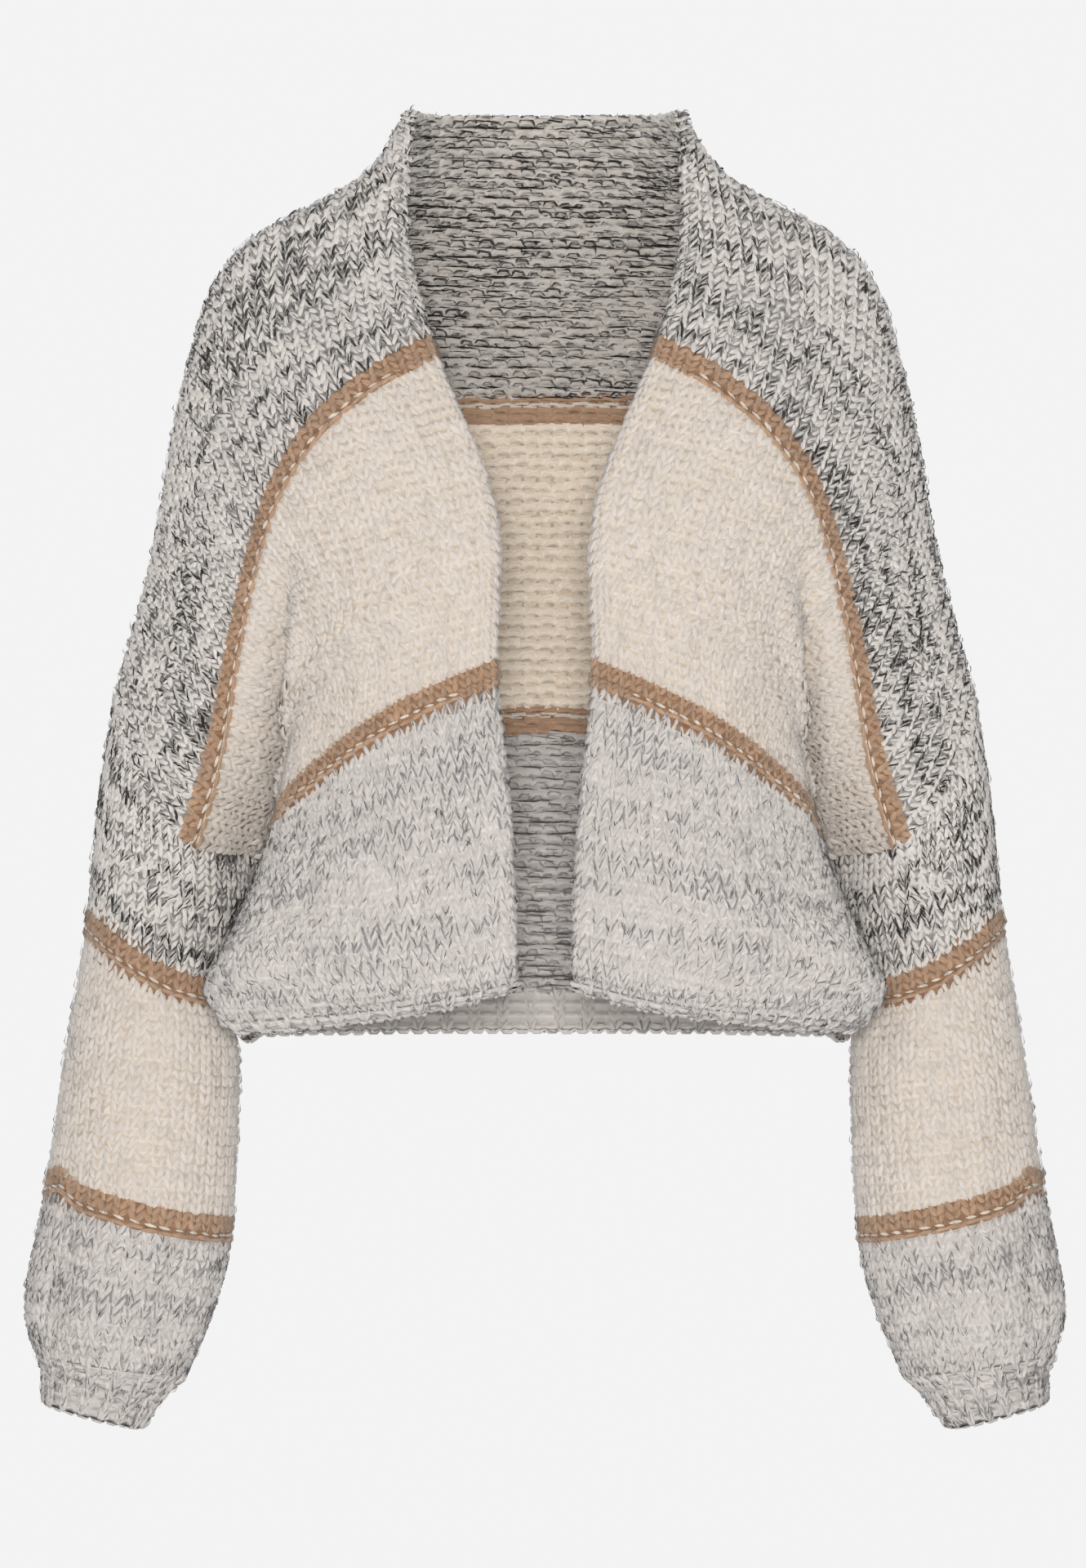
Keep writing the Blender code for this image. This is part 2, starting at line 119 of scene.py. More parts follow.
# ---- sections of the back, from the shoulder line down: centre, blade, turn, side, tuck, end ----
BACK_SECTIONS = (
    # name, steps, the first three places, then the last three
    ("yoke", 3, (0, 80, -40), (62, 77, -42), (122, 60, -62),
     (178, 44, -110), (206, 36, -240), (234, 30, -330)),
    ("stripe_high", 3, (0, 88, -125), (66, 87, -128), (126, 80, -150),
     (161, 70, -205), (186, 58, -300), (201, 50, -376)),
    ("cream", 4, (0, 95, -215), (70, 95, -218), (130, 84, -245),
     (154, 68, -300), (158, 44, -352), (160, 6, -386)),
    ("stripe_low", 4, (0, 100, -305), (70, 101, -307), (135, 94, -320),
     (162, 74, -350), (158, 46, -386), (152, 7, -410)),
    ("mid", 2, (0, 104, -370), (70, 106, -371), (140, 99, -380),
     (172, 78, -394), (164, 50, -412), (154, 8, -428)),
    ("low", 2, (0, 106, -425), (70, 109, -425), (142, 103, -430),
     (180, 82, -434), (170, 53, -440), (158, 9, -444)),
    ("widest", 2, (0, 105, -450), (70, 108, -450), (140, 102, -452),
     (180, 81, -453), (171, 53, -456), (161, 10, -457)),
    ("hem", 2, (0, 102, -461), (70, 104, -461), (138, 99, -462),
     (174, 80, -463), (168, 52, -466), (162, 10, -466)),
)
NECK_EDGE = ((0, 72, 45), (40, 66, 45), (68, 42, 43), (78, 10, 41))

# ---- sections of the sleeve below the armhole ring ----
SLEEVE_SECTIONS = (
    # steps, outer x, outer z, inner x, inner z, half depth, centre y, bow
    (3, 253, -352, 171, -420, 47, 8, 16),
    (3, 260, -421, 180, -462, 50, 10, 9),
    (3, 272, -495, 176, -503, 54, 12, 4),
    (3, 283, -570, 180, -596, 54, 10, 3),
    (3, 295, -636, 190, -640, 53, 8, 0),
    (3, 289, -667, 206, -679, 42, 8, 0),
)
CUFF_END = (0, 285, -694, 231, -708, 28, 8, 0)

# ---- soft folds: panel, share across, share up (in a sleeve, down), half width, half height, depth ----
FOLDS = (
    ("front", 0.16, 0.22, 0.050, 0.20, -3.0),
    ("front", 0.30, 0.12, 0.060, 0.16, 3.0),
    ("front", 0.44, 0.20, 0.050, 0.16, -3.5),
    ("front", 0.62, 0.08, 0.050, 0.12, -3.0),
    ("front", 0.22, 0.72, 0.060, 0.12, 2.5),
    ("front", 0.62, 0.84, 0.050, 0.10, -3.0),
    ("front", 0.48, 0.640, 0.06, 0.032, -6.0),
    ("front", 0.58, 0.615, 0.06, 0.032, -10.0),
    ("front", 0.68, 0.590, 0.06, 0.033, -12.0),
    ("front", 0.78, 0.560, 0.06, 0.033, -13.0),
    ("front", 0.88, 0.530, 0.05, 0.032, -11.0),
    ("front", 0.50, 0.570, 0.07, 0.036, 4.0),
    ("front", 0.62, 0.535, 0.07, 0.034, 9.0),
    ("front", 0.74, 0.500, 0.06, 0.034, 9.0),
    ("back", 0.10, 0.25, 0.060, 0.25, -3.0),
    ("back", 0.26, 0.18, 0.050, 0.22, 3.5),
    ("back", 0.38, 0.30, 0.050, 0.20, -3.5),
    ("back", 0.58, 0.20, 0.060, 0.18, -4.0),
    ("back", 0.70, 0.62, 0.050, 0.14, -4.0),
    ("sleeve", 0.13, 0.84, 0.030, 0.14, -5.0),
    ("sleeve", 0.22, 0.86, 0.045, 0.12, 3.0),
    ("sleeve", 0.34, 0.82, 0.040, 0.12, -3.5),
    ("sleeve", 0.66, 0.85, 0.045, 0.12, -3.5),
    ("sleeve", 0.80, 0.83, 0.045, 0.11, 3.0),
    ("sleeve", 0.45, 0.20, 0.060, 0.07, -3.0),
    ("sleeve", 0.55, 0.30, 0.060, 0.07, -3.0),
)

# ---- a camel stripe, in the direction of knitting: kind, yarn, height of the course ----
STRIPE = (
    ("ridge", "camel", 3.5),
    ("dash", "dash", 2.3),
    ("knit", "camel", 4.6),
    ("knit", "camel", 4.8),
)
STRIPE_HEIGHT = sum(course[2] for course in STRIPE)
BLOCKS = ("light_marl", "cream", "dark_marl")  # the yarns between the stripes, from the hem up
KINK_HEIGHT = 6.0  # how far the lower stripe of a sleeve rises beside a fold
KINK_PLACE = 0.915  # where, and how far to either side, as shares of the way round
KINK_WIDTH = 0.035
PLAIN_EDGE_WALES = 3  # the dashes stop this many stitches short of the open edge


# ---- curves and surfaces; the number of columns and rows are those of the fine surface ----
FLIP = np.array([-1.0, 1.0, 1.0])  # turns a piece of the right side into its left twin
FOLD_FADE = 8.0  # folds fade out over this part of one, an eighth, at the edges of their panel
FRONT_COLUMNS = 49
NECK_COLUMNS = 13
SLEEVE_STRIPES = {"stripe_low": 4, "stripe_high": 2}  # the section of the sleeve that each stripe lies at
CUFF_ROWS = 9


def catmull_rom(points, steps):
    points = np.asarray(points, dtype=float)
    padded = np.concatenate([[2 * points[0] - points[1]], points, [2 * points[-1] - points[-2]]])
    line = [points[0]]
    for span, count in enumerate(steps):
        a, b, c, d = padded[span : span + 4]
        for step in range(1, count + 1):
            t = step / count
            bend = (2 * a - 5 * b + 4 * c - d) * t**2 + (3 * b - a - 3 * c + d) * t**3
            line.append(0.5 * (2 * b + (c - a) * t + bend))
    return np.array(line)


def smooth_line(points, fine=12):
    return catmull_rom(points, [fine] * (len(points) - 1))


def lengths_along(line):
    steps = np.linalg.norm(np.diff(line, axis=0), axis=-1)
    return np.concatenate([np.zeros_like(steps[:1]), np.cumsum(steps, axis=0)])


def at_lengths(line, wanted, lengths=None):
    lengths = lengths_along(line) if lengths is None else lengths
    return np.stack([np.interp(wanted, lengths, line[:, axis]) for axis in range(line.shape[1])], axis=1)


def at_shares(line, shares):
    lengths = lengths_along(line)
    return at_lengths(line, np.asarray(shares) * lengths[-1], lengths)


def unit(vectors):
    return vectors / np.maximum(np.linalg.norm(vectors, axis=-1, keepdims=True), 1e-9)


def grid_normals(grid):
    return unit(np.cross(np.gradient(grid, axis=1), np.gradient(grid, axis=0)))


def closed_columns(grid):
    return np.concatenate([grid, grid[:, :1]], axis=1)


def tube_normals(grid):
    ring = grid[:, :-1]
    across = np.roll(ring, -1, axis=1) - np.roll(ring, 1, axis=1)
    return closed_columns(unit(np.cross(across, np.gradient(ring, axis=0))))


def with_folds(panel, grid, out):
    ups = np.linspace(0.0, 1.0, grid.shape[0])[:, None]
    acrosses = np.linspace(0.0, 1.0, grid.shape[1])[None, :]
    fade = np.minimum(1.0, FOLD_FADE * np.minimum(acrosses, 1.0 - acrosses))
    fade = fade * np.minimum(1.0, FOLD_FADE * np.minimum(ups, 1.0 - ups))
    moved = np.zeros(grid.shape[:2])
    for name, across, up, width, height, depth in FOLDS:
        if name == panel:
            moved += depth * np.exp(-(((acrosses - across) / width) ** 2) - ((ups - up) / height) ** 2)
    return grid + out * (moved * fade)[:, :, None]


def mirror(grid):
    return (grid * FLIP)[:, ::-1]


class Cloth:
    """A fine middle surface: rows go up from the hem, and marks are the rows of the named sections.

    Its outward side is the one that its column direction crossed with its row direction points to.
    """

    def __init__(self, grid, out, marks, tube=False):
        self.grid = grid
        self.out = out
        self.marks = marks
        self.tube = tube
        self.heights = lengths_along(grid)

    def at(self, heights):
        """Points and outward directions at the given height along each column."""
        both = np.concatenate([self.grid, self.out], axis=2)
        columns = [at_lengths(both[:, c], heights[:, c], self.heights[:, c]) for c in range(both.shape[1])]
        found = np.stack(columns, axis=1)
        return found[:, :, :3], unit(found[:, :, 3:])


def section_rows(sections):
    """The row of the fine surface that each named section lies at, counted from the first one."""
    rows = np.cumsum([section[1] for section in sections]) * FINE
    return {section[0]: int(row) for section, row in zip(sections, rows)}


def body_cloths():
    """The front, and the whole back, whose columns run from the +X side to the -X side."""
    front_shares = np.linspace(0.0, 1.0, FRONT_COLUMNS)
    neck_shares = np.linspace(0.0, 1.0, NECK_COLUMNS)
    beside_neck = NECK_SHARE + (1 - NECK_SHARE) * front_shares[1:]
    back_shares = np.concatenate([neck_shares * NECK_SHARE, beside_neck])
    front_keys = [at_shares(smooth_line(section[2:]), front_shares) for section in FRONT_SECTIONS]
    neck = at_shares(smooth_line(NECK_EDGE), neck_shares)
    neck[:, 2] -= NECK_LOWERED * (1.0 - neck_shares**4)
    back_keys = [at_shares(smooth_line(section[2:]), back_shares) for section in BACK_SECTIONS]
    front_steps = [section[1] * FINE for section in FRONT_SECTIONS[1:]]
    back_steps = [section[1] * FINE for section in BACK_SECTIONS]
    shoulder_row = sum(front_steps)
    last_neck = NECK_COLUMNS - 1

    over = []
    for column in range(FRONT_COLUMNS):
        points = [key[column] for key in front_keys] + [key[last_neck + column] for key in back_keys]
        over.append(catmull_rom(points, front_steps + back_steps))
    over = np.stack(over, axis=1)
    below_neck = []
    for column in range(last_neck):
        below_neck.append(catmull_rom([neck[column]] + [key[column] for key in back_keys], back_steps))
    front = over[: shoulder_row + 1]
    back = np.concatenate([np.stack(below_neck, axis=1), over[shoulder_row:]], axis=1)[::-1]
    front = with_folds("front", front, grid_normals(front))
    back = with_folds("back", back, -grid_normals(back))
    front_marks = section_rows(FRONT_SECTIONS)
    back_marks = {name: sum(back_steps) - row for name, row in section_rows(BACK_SECTIONS).items()}
    underarm = front_marks["cream"]
    side_seam = SIDE_SEAM_FRONT * front[:underarm, -1] + (1 - SIDE_SEAM_FRONT) * back[:underarm, -1]
    front[:underarm, -1] = side_seam
    back[:underarm, -1] = side_seam

    # out directions that agree across the shoulder line
    joined = np.concatenate([front, back[::-1, last_neck:][1:]], axis=0)
    joined_out = grid_normals(joined)
    front_out = joined_out[: shoulder_row + 1]
    back_out = -grid_normals(back)
    back_out[-1, last_neck:] = joined_out[shoulder_row]
    whole = np.concatenate([back[:, ::-1], mirror(back[:, ::-1])[:, 1:]], axis=1)
    whole_out = np.concatenate([back_out[:, ::-1], mirror(back_out[:, ::-1])[:, 1:]], axis=1)
    centre = back.shape[1] - 1
    whole_out[:, centre] = unit(whole_out[:, centre] * np.array([0.0, 1.0, 1.0]))
    return Cloth(front, front_out, front_marks), Cloth(whole, whole_out, back_marks), back, underarm


def sleeve_ring(section, count):
    _, outer_x, outer_z, inner_x, inner_z, depth, centre_y, bow = section
    angles = 2 * math.pi * np.arange(count)[:, None] / count
    centre = np.array([(outer_x + inner_x) / 2, centre_y, (outer_z + inner_z) / 2])
    half = np.array([(outer_x - inner_x) / 2, 0.0, (outer_z - inner_z) / 2])
    ring = centre + half * np.cos(angles) + np.array([0.0, -depth, 0.0]) * np.sin(angles)
    return ring + np.array([0.0, 0.0, -bow]) * np.sin(angles) ** 2


def sleeve_cloth(front, back_half, underarm):
    """The sleeve: rows go up from the cuff to the armhole, columns go round from the outermost one."""
    armhole = np.vstack([front.grid[underarm:, -1][::-1], back_half[underarm + 1 : -1, -1]])
    count = len(armhole)
    rings = [armhole] + [sleeve_ring(section, count) for section in SLEEVE_SECTIONS]
    steps = [section[0] * FINE for section in SLEEVE_SECTIONS]
    columns = [catmull_rom([ring[i] for ring in rings], steps) for i in range(count)]
    grid = closed_columns(np.stack(columns, axis=1))
    grid = closed_columns(with_folds("sleeve", grid, tube_normals(grid))[:, :-1])
    marks = {name: sum(steps) - sum(steps[:place]) for name, place in SLEEVE_STRIPES.items()}
    grid = grid[::-1, ::-1]
    return Cloth(grid, tube_normals(grid), marks, tube=True)


def ribs_along(line):
    """How many ribs fit on a seam, and how far the cloth stands out at each of its points."""
    lengths = lengths_along(line)
    ribs = round(lengths[-1] / RIB_PITCH)
    shares = lengths / lengths[-1]
    return ribs, RIB_HEIGHT * (0.5 - 0.5 * np.cos(2 * math.pi * ribs * shares)), shares


def cuff_cloth(sleeve):
    """Rows go up from the open end to the cuff seam."""
    seam = sleeve.grid[0]
    ribs, raised, _ = ribs_along(seam)
    end = closed_columns(sleeve_ring(CUFF_END, len(seam) - 1)[None])[0][::-1]
    seam_middle, end_middle = seam.mean(axis=0), end.mean(axis=0)
    rows = []
    for along in np.linspace(1.0, 0.0, CUFF_ROWS):
        drawn_in = along**CUFF_GRIP
        middle = seam_middle * (1 - along) + end_middle * along
        rows.append(middle + (seam - seam_middle) * (1 - drawn_in) + (end - end_middle) * drawn_in)
    grid = np.stack(rows)
    return Cloth(grid, tube_normals(grid), {}, tube=True), ribs, raised


def band_cloth(panel, turn):
    """Rows go up from the hem band's free edge to its seam; it is rolled in by the angle turn."""
    seam, seam_out = panel.grid[0], panel.out[0]
    ribs, raised, shares = ribs_along(seam)
    inward = -unit(seam_out * np.array([1.0, 1.0, 0.0]))
    down = np.array([0.0, 0.0, -1.0])
    rolled = np.clip((1.0 - shares) * BAND_UNROLL, 0.0, 1.0)
    turns = turn * rolled[:, None]
    ends = 1.0 - rolled
    if turn == 0.0:
        ends = np.clip(np.abs(2.0 * shares - 1.0) * BAND_TAPER_REACH - BAND_TAPER_REACH + 1.0, 0.0, 1.0)
    depth = (BAND_DEPTH * (1.0 - BAND_TAPER * ends))[:, None]
    rows = [seam]
    for row in range(BAND_ROWS):
        angle = turns * math.ceil((row + 1) / BAND_ROWS * BAND_BENDS) / BAND_BENDS
        rows.append(rows[-1] + depth / BAND_ROWS * (down * np.cos(angle) + inward * np.sin(angle)))
    grid = np.stack(rows[::-1])
    out = grid_normals(grid)
    out[-1] = seam_out
    return Cloth(grid, out, {}), ribs, raised


# ---- courses ----
EDGE_FREE = 0.3  # no stitch is centred nearer than this to the end of its course, in stitches
EDGE_STEP = 0.42  # how far past the open edge the turned column lies, in stitches
EDGE_FACES_OUT = 0.35  # how much it still faces out of the cloth, where 0 faces along it
EDGE_WIDE = 0.85  # its width, in stitches
POOL_OWN = 0.62  # how much of a stitch's shade comes from its own course, and the rest from the one below
POOL_CONTRAST = 2.8  # more makes the pools darker and what lies between them paler
POOL_MIDDLE = 0.46  # the shade between pool and ground, where 1 is darkest
POOL_SPREAD = 0.6  # how far the shade strays from stitch to stitch
# one course of knitting: what it shows outside, its yarn, its heights along the columns, how tall it is
# there, and where it shows
Course = namedtuple("Course", ("kind", "yarn", "heights", "tall", "shown"))


def plain_courses(yarn, low, high):
    """Even courses between two heights; where they would be too tight, the middle ones are hidden."""
    span = high - low
    count = int(round(span.max() / COURSE))
    pitch = np.maximum(span / count, TIGHTEST_COURSE)
    courses = []
    for number in range(count):
        from_low = low + (number + 0.5) * pitch
        from_high = high - (count - number - 0.5) * pitch
        middle = low + span * 0.5
        below = from_low <= middle + np.where(span / count < TIGHTEST_COURSE, pitch / 2, 0.0)
        above = from_high > middle
        heights = np.where(below, from_low, from_high)
        courses.append(Course("knit", yarn, heights, pitch, below | above))
    return courses


def kink_along(cloth):
    """The lower stripe of a sleeve rises beside the fold near the sleeve's outer edge."""
    shares = np.linspace(0.0, 1.0, cloth.grid.shape[1])
    return KINK_HEIGHT * np.exp(-(((shares - KINK_PLACE) / KINK_WIDTH) ** 2))


def all_courses(cloth, downwards, kink=0.0):
    """The panel's courses from its hem up; downwards is for the back, which is knitted from the top."""
    heights = cloth.heights
    low = heights[cloth.marks["stripe_low"]] + kink
    high = heights[cloth.marks["stripe_high"]]
    stripe = STRIPE[::-1] if downwards else STRIPE
    courses = plain_courses(BLOCKS[0], heights[0], low - STRIPE_HEIGHT / 2)
    for mark, above in ((low, 1), (high, 2)):
        at = mark - STRIPE_HEIGHT / 2
        for kind, yarn, tall in stripe:
            always = np.ones(len(mark), dtype=bool)
            courses.append(Course(kind, yarn, at + tall / 2, np.full(len(mark), tall), always))
            at = at + tall
        top = high - STRIPE_HEIGHT / 2 if above == 1 else heights[-1]
        courses += plain_courses(BLOCKS[above], at, top)
    return courses


class Stitches:
    """Rows of stitches on a cloth: where each one is, how it lies and how large it is."""

    def __init__(self, cloth, courses, wales=None, pitch=None, phase=0.5):
        heights = np.stack([course.heights for course in courses])
        points, out = cloth.at(heights)
        if pitch:  # stitches of one size, counted from the middle
            longest = lengths_along(points.transpose(1, 0, 2))[-1].max()
            wales = 2 * int(longest / 2 / pitch)
        self.wales = wales
        shape = (len(courses), self.wales)
        self.points = np.zeros(shape + (3,))
        self.out = np.zeros(shape + (3,))
        self.shown = np.zeros(shape, dtype=bool)
        self.wide = np.zeros(shape)
        self.tall = np.zeros(shape)
        numbers = np.arange(self.wales) + phase
        columns = np.arange(points.shape[1])
        for row, course in enumerate(courses):
            line = np.concatenate([points[row], out[row]], axis=1)
            lengths = lengths_along(points[row])
            if pitch:
                wanted = lengths[-1] / 2 + (numbers - self.wales / 2) * pitch
                inside = (wanted > pitch * EDGE_FREE) & (wanted < lengths[-1] - pitch * EDGE_FREE)
                self.wide[row] = pitch
            else:
                wanted = numbers / self.wales * lengths[-1]
                inside = np.ones(self.wales, dtype=bool)
                self.wide[row] = lengths[-1] / self.wales
            found = at_lengths(line, wanted, lengths)
            self.points[row] = found[:, :3]
            self.out[row] = unit(found[:, 3:])
            nearest = np.round(np.interp(wanted, lengths, columns)).astype(int)
            self.shown[row] = inside & course.shown[nearest]
            self.tall[row] = course.tall[nearest]
        self.up = unit(np.gradient(self.points, axis=0))
        self.kinds = np.array([[course.kind] * self.wales for course in courses], dtype="U16")
        self.yarns = np.array([[course.yarn] * self.wales for course in courses], dtype="U16")
        along = unit(np.gradient(self.points, axis=1))
        lean = np.sum(self.up * along, axis=2)
        squared = np.where(np.isin(self.yarns, ("camel", "dash")), STRIPE_SQUARED, PLAIN_SQUARED) * lean
        self.up = unit(self.up - along * squared[:, :, None])
        self.tall = self.tall * np.sqrt(1.0 - squared**2)

    def moved(self, wales, courses):
        """The same stitches, moved by a share of a wale and of a course."""
        other = copy.copy(self)
        across = np.cross(self.up, self.out)
        sideways = across * (self.wide * wales)[:, :, None]
        other.points = self.points + sideways + self.up * (self.tall * courses)[:, :, None]
        return other

    def rib(self):
        """Every other column becomes purl and lies lower: a 1x1 rib."""
        self.kinds[:, ::2] = "purl"
        self.points[:, 1::2] += self.out[:, 1::2] * RIB_HEIGHT

    def keep_edge_plain(self):
        """The dashes stop short of the open edge, where the stripe is knit in its own colour."""
        near_edge = np.arange(self.wales)[None, :] < PLAIN_EDGE_WALES
        self.yarns[near_edge & (self.kinds == "dash")] = "camel"
        self.kinds[near_edge & (self.kinds != "knit")] = "knit"

    def turn_edge(self):
        """One more column, which rolls over the open edge."""
        away = unit(self.points[:, :1] - self.points[:, 1:2])
        out, wide = self.out[:, :1], self.wide[:, :1]
        turned = {
            "points": self.points[:, :1] + away * wide[:, :, None] * EDGE_STEP - out * SET_IN,
            "out": unit(out * EDGE_FACES_OUT + away),
            "wide": wide * EDGE_WIDE,
        }
        for label in ("points", "out", "up", "wide", "tall", "shown", "kinds", "yarns"):
            values = getattr(self, label)
            setattr(self, label, np.concatenate([turned.get(label, values[:, :1]), values], axis=1))
        self.wales += 1


def pooled_shade(rng, rows, wales):
    """How dark each stitch of a marl is: runs of dark along a course, broken up stitch by stitch."""
    coarse = rng.random((rows, int(wales / POOL_WALES) + 3))
    at = np.arange(wales) / POOL_WALES
    shade = np.stack([np.interp(at + rng.random(), np.arange(coarse.shape[1]), row) for row in coarse])
    shade = POOL_OWN * shade + (1.0 - POOL_OWN) * np.roll(shade, 1, axis=0)
    shade = (shade - 0.5) * POOL_CONTRAST + POOL_MIDDLE + (rng.random((rows, wales)) - 0.5) * POOL_SPREAD
    return np.clip(shade, 0.0, 1.0)


# ---- meshes and objects ----
def new_mesh(name, verts, faces):
    mesh = bpy.data.meshes.new(name)
    mesh.from_pydata(verts, [], faces)
    return mesh


def add_object(name, data):
    """A new object with the given data, placed in the scene."""
    made = bpy.data.objects.new(name, data)
    bpy.context.scene.collection.objects.link(made)
    return made


# ---- small shapes that repeat: path, widths and heights along it, and corners round it ----
# All but the hair and the ply are in shares of a stitch's width, its height and how far it stands out.
STRAND_FLAT = 0.25  # how far a strand's flat underside lies below its path, as a share of its height
STRANDS = {
    # the right leg of a knit stitch; the two legs part upwards, one wale wide and one course tall
    "knit": (
        ((0.04, -0.72, -0.25), (0.15, -0.30, 0.16), (0.32, 0.36, 0.20), (0.45, 0.98, -0.25)),
        (0.235, 0.225),
        (0.84, 0.78),
        3,
    ),
    # a purl bump: one yarn that lies across its wale and dips at both ends
    "purl": (
        ((-0.62, -0.44, -0.5), (-0.25, 0.10, 0.36), (0.25, 0.10, 0.36), (0.62, -0.44, -0.5)),
        (0.34, 0.34),
        (0.80, 0.80),
        3,
    ),
    # a bump of a raised course, rounder than a plain purl bump
    "ridge": (
        (
            (-0.60, -0.34, -0.5),
            (-0.36, -0.02, 0.20),
            (0.0, 0.12, 0.45),
            (0.36, -0.02, 0.20),
            (0.60, -0.34, -0.5),
        ),
        (0.34, 0.38, 0.34),
        (0.72, 0.90, 0.72),
        5,
    ),
    # a short slanting float of pale yarn
    "dash": (
        ((-0.36, -0.24, -0.4), (-0.15, -0.08, 0.16), (0.15, 0.10, 0.16), (0.36, 0.24, -0.4)),
        (0.46, 0.46),
        (0.66, 0.66),
        4,
    ),
    # a loose hair of the brushed yarn, in millimetres, which lies over the cloth and lifts off it
    "hair": (((0.0, -5.0, -0.5), (0.7, 0.0, 0.5), (-0.6, 5.5, 0.3)), (0.10,), (0.16,), 3),
    # a run of the marl's dark ply, in millimetres, along a leg of a stitch, which dives at both ends
    "ply": (
        ((0.2, -4.6, -0.7), (-0.3, -1.6, 0.25), (0.3, 1.8, 0.25), (-0.2, 4.8, -0.7)),
        (0.42, 0.42),
        (0.40, 0.40),
        3,
    ),
}


def tapered_strand(path, widths, heights, sides):
    """A closed strand along a path in its own flat frame, pointed at both ends, with a strip of UV."""
    path = np.asarray(path, dtype=float)
    tangents = unit(np.gradient(path, axis=0))
    lift = np.array([0.0, 0.0, 1.0])
    alongs = np.linspace(0, 1, len(path))
    verts = [path[0]]
    uvs = [(0.5, 0.0)]
    for ring, (width, height) in enumerate(zip(widths, heights), start=1):
        side = unit(np.cross(tangents[ring], lift))
        for number in range(sides):
            angle = math.pi * (number / (sides - 1))
            raised = math.sin(angle) * height - height * STRAND_FLAT
            verts.append(path[ring] + side * math.cos(angle) * width + lift * raised)
            uvs.append((number / (sides - 1), alongs[ring]))
    verts.append(path[-1])
    uvs.append((0.5, 1.0))
    last = 1 + (len(path) - 3) * sides
    faces = []
    for number in range(sides):
        after = (number + 1) % sides
        faces.append((0, 1 + number, 1 + after))
        for base in range(1, last, sides):
            faces.append((base + number, base + sides + number, base + sides + after, base + after))
        faces.append((last + after, last + number, len(verts) - 1))
    return np.array(verts), faces, uvs


def small_shape(name):
    """The small mesh of one kind of strand; a knit stitch has two, its left leg and its right one."""
    path, widths, heights, sides = STRANDS[name]
    paths = [np.array(path) * FLIP, path] if name == "knit" else [path]
    verts = []
    faces = []
    uvs = []
    for strand_path in paths:
        points, strand_faces, strand_uvs = tapered_strand(strand_path, widths, heights, sides)
        start = len(verts)
        verts += points.tolist()
        uvs += strand_uvs
        faces += [tuple(corner + start for corner in face) for face in strand_faces]
    mesh = new_mesh(name, verts, faces)
    layer = mesh.uv_layers.new(name="UVMap")
    for loop in mesh.loops:
        layer.data[loop.index].uv = uvs[loop.vertex_index]
    mesh.shade_smooth()
    mesh.update()
    return bpy.data.objects.new(name, mesh)


# ---- Geometry Nodes: lay a small shape on every point ----
def node(tree, kind, settings=None, links=None):
    """Adds a node, sets its settings and sockets, and links its inputs."""
    made = tree.nodes.new(kind)
    for key, value in (settings or {}).items():
        if isinstance(key, str) and hasattr(made, key):
            setattr(made, key, value)
        else:
            made.inputs[key].default_value = value
    for socket, source in (links or {}).items():
        tree.links.new(source, made.inputs[socket])
    return made


def laying_tree():
    """Lays the shape on each point, turned to the point's out and up, sized by its size."""
    tree = bpy.data.node_groups.new("lay_stitches", "GeometryNodeTree")
    for name, kind in (("Points", "Geometry"), ("Shape", "Object"), ("Yarn", "Material")):
        tree.interface.new_socket(name, in_out="INPUT", socket_type="NodeSocket" + kind)
    tree.interface.new_socket("Cloth", in_out="OUTPUT", socket_type="NodeSocketGeometry")
    given = node(tree, "NodeGroupInput")
    shape = node(tree, "GeometryNodeObjectInfo", {}, {"Object": given.outputs["Shape"]})
    fields = {}
    for name in ("out", "up", "size"):
        settings = {"data_type": "FLOAT_VECTOR", "Name": name}
        fields[name] = node(tree, "GeometryNodeInputNamedAttribute", settings).outputs["Attribute"]
    turn = node(
        tree,
        "FunctionNodeAxesToRotation",
        {"primary_axis": "Z", "secondary_axis": "Y"},
        {0: fields["out"], 1: fields["up"]},
    )
    laid = node(
        tree,
        "GeometryNodeInstanceOnPoints",
        {},
        {
            "Points": given.outputs["Points"],
            "Instance": shape.outputs["Geometry"],
            "Rotation": turn.outputs[0],
            "Scale": fields["size"],
        },
    )
    real = node(tree, "GeometryNodeRealizeInstances", {}, {0: laid.outputs[0]})
    dyeing = {"Geometry": real.outputs[0], "Material": given.outputs["Yarn"]}
    dyed = node(tree, "GeometryNodeSetMaterial", {}, dyeing)
    node(tree, "NodeGroupOutput", {}, {0: dyed.outputs[0]})
    return tree


def soften(mesh, softness):
    """Brushed yarn scatters light, so each strand is lit partly as the cloth around it is."""
    count = len(mesh.vertices)
    own = np.empty(count * 3, dtype=np.float32)
    cloth = np.empty(count * 3, dtype=np.float32)
    mesh.vertex_normals.foreach_get("vector", own)
    mesh.attributes["out"].data.foreach_get("vector", cloth)
    mixed = own.reshape(-1, 3) * (1 - softness) + unit(cloth.reshape(-1, 3)) * softness
    mesh.normals_split_custom_set_from_vertices(unit(mixed).tolist())
    for label in ("out", "up", "size"):
        if label in mesh.attributes:
            mesh.attributes.remove(mesh.attributes[label])


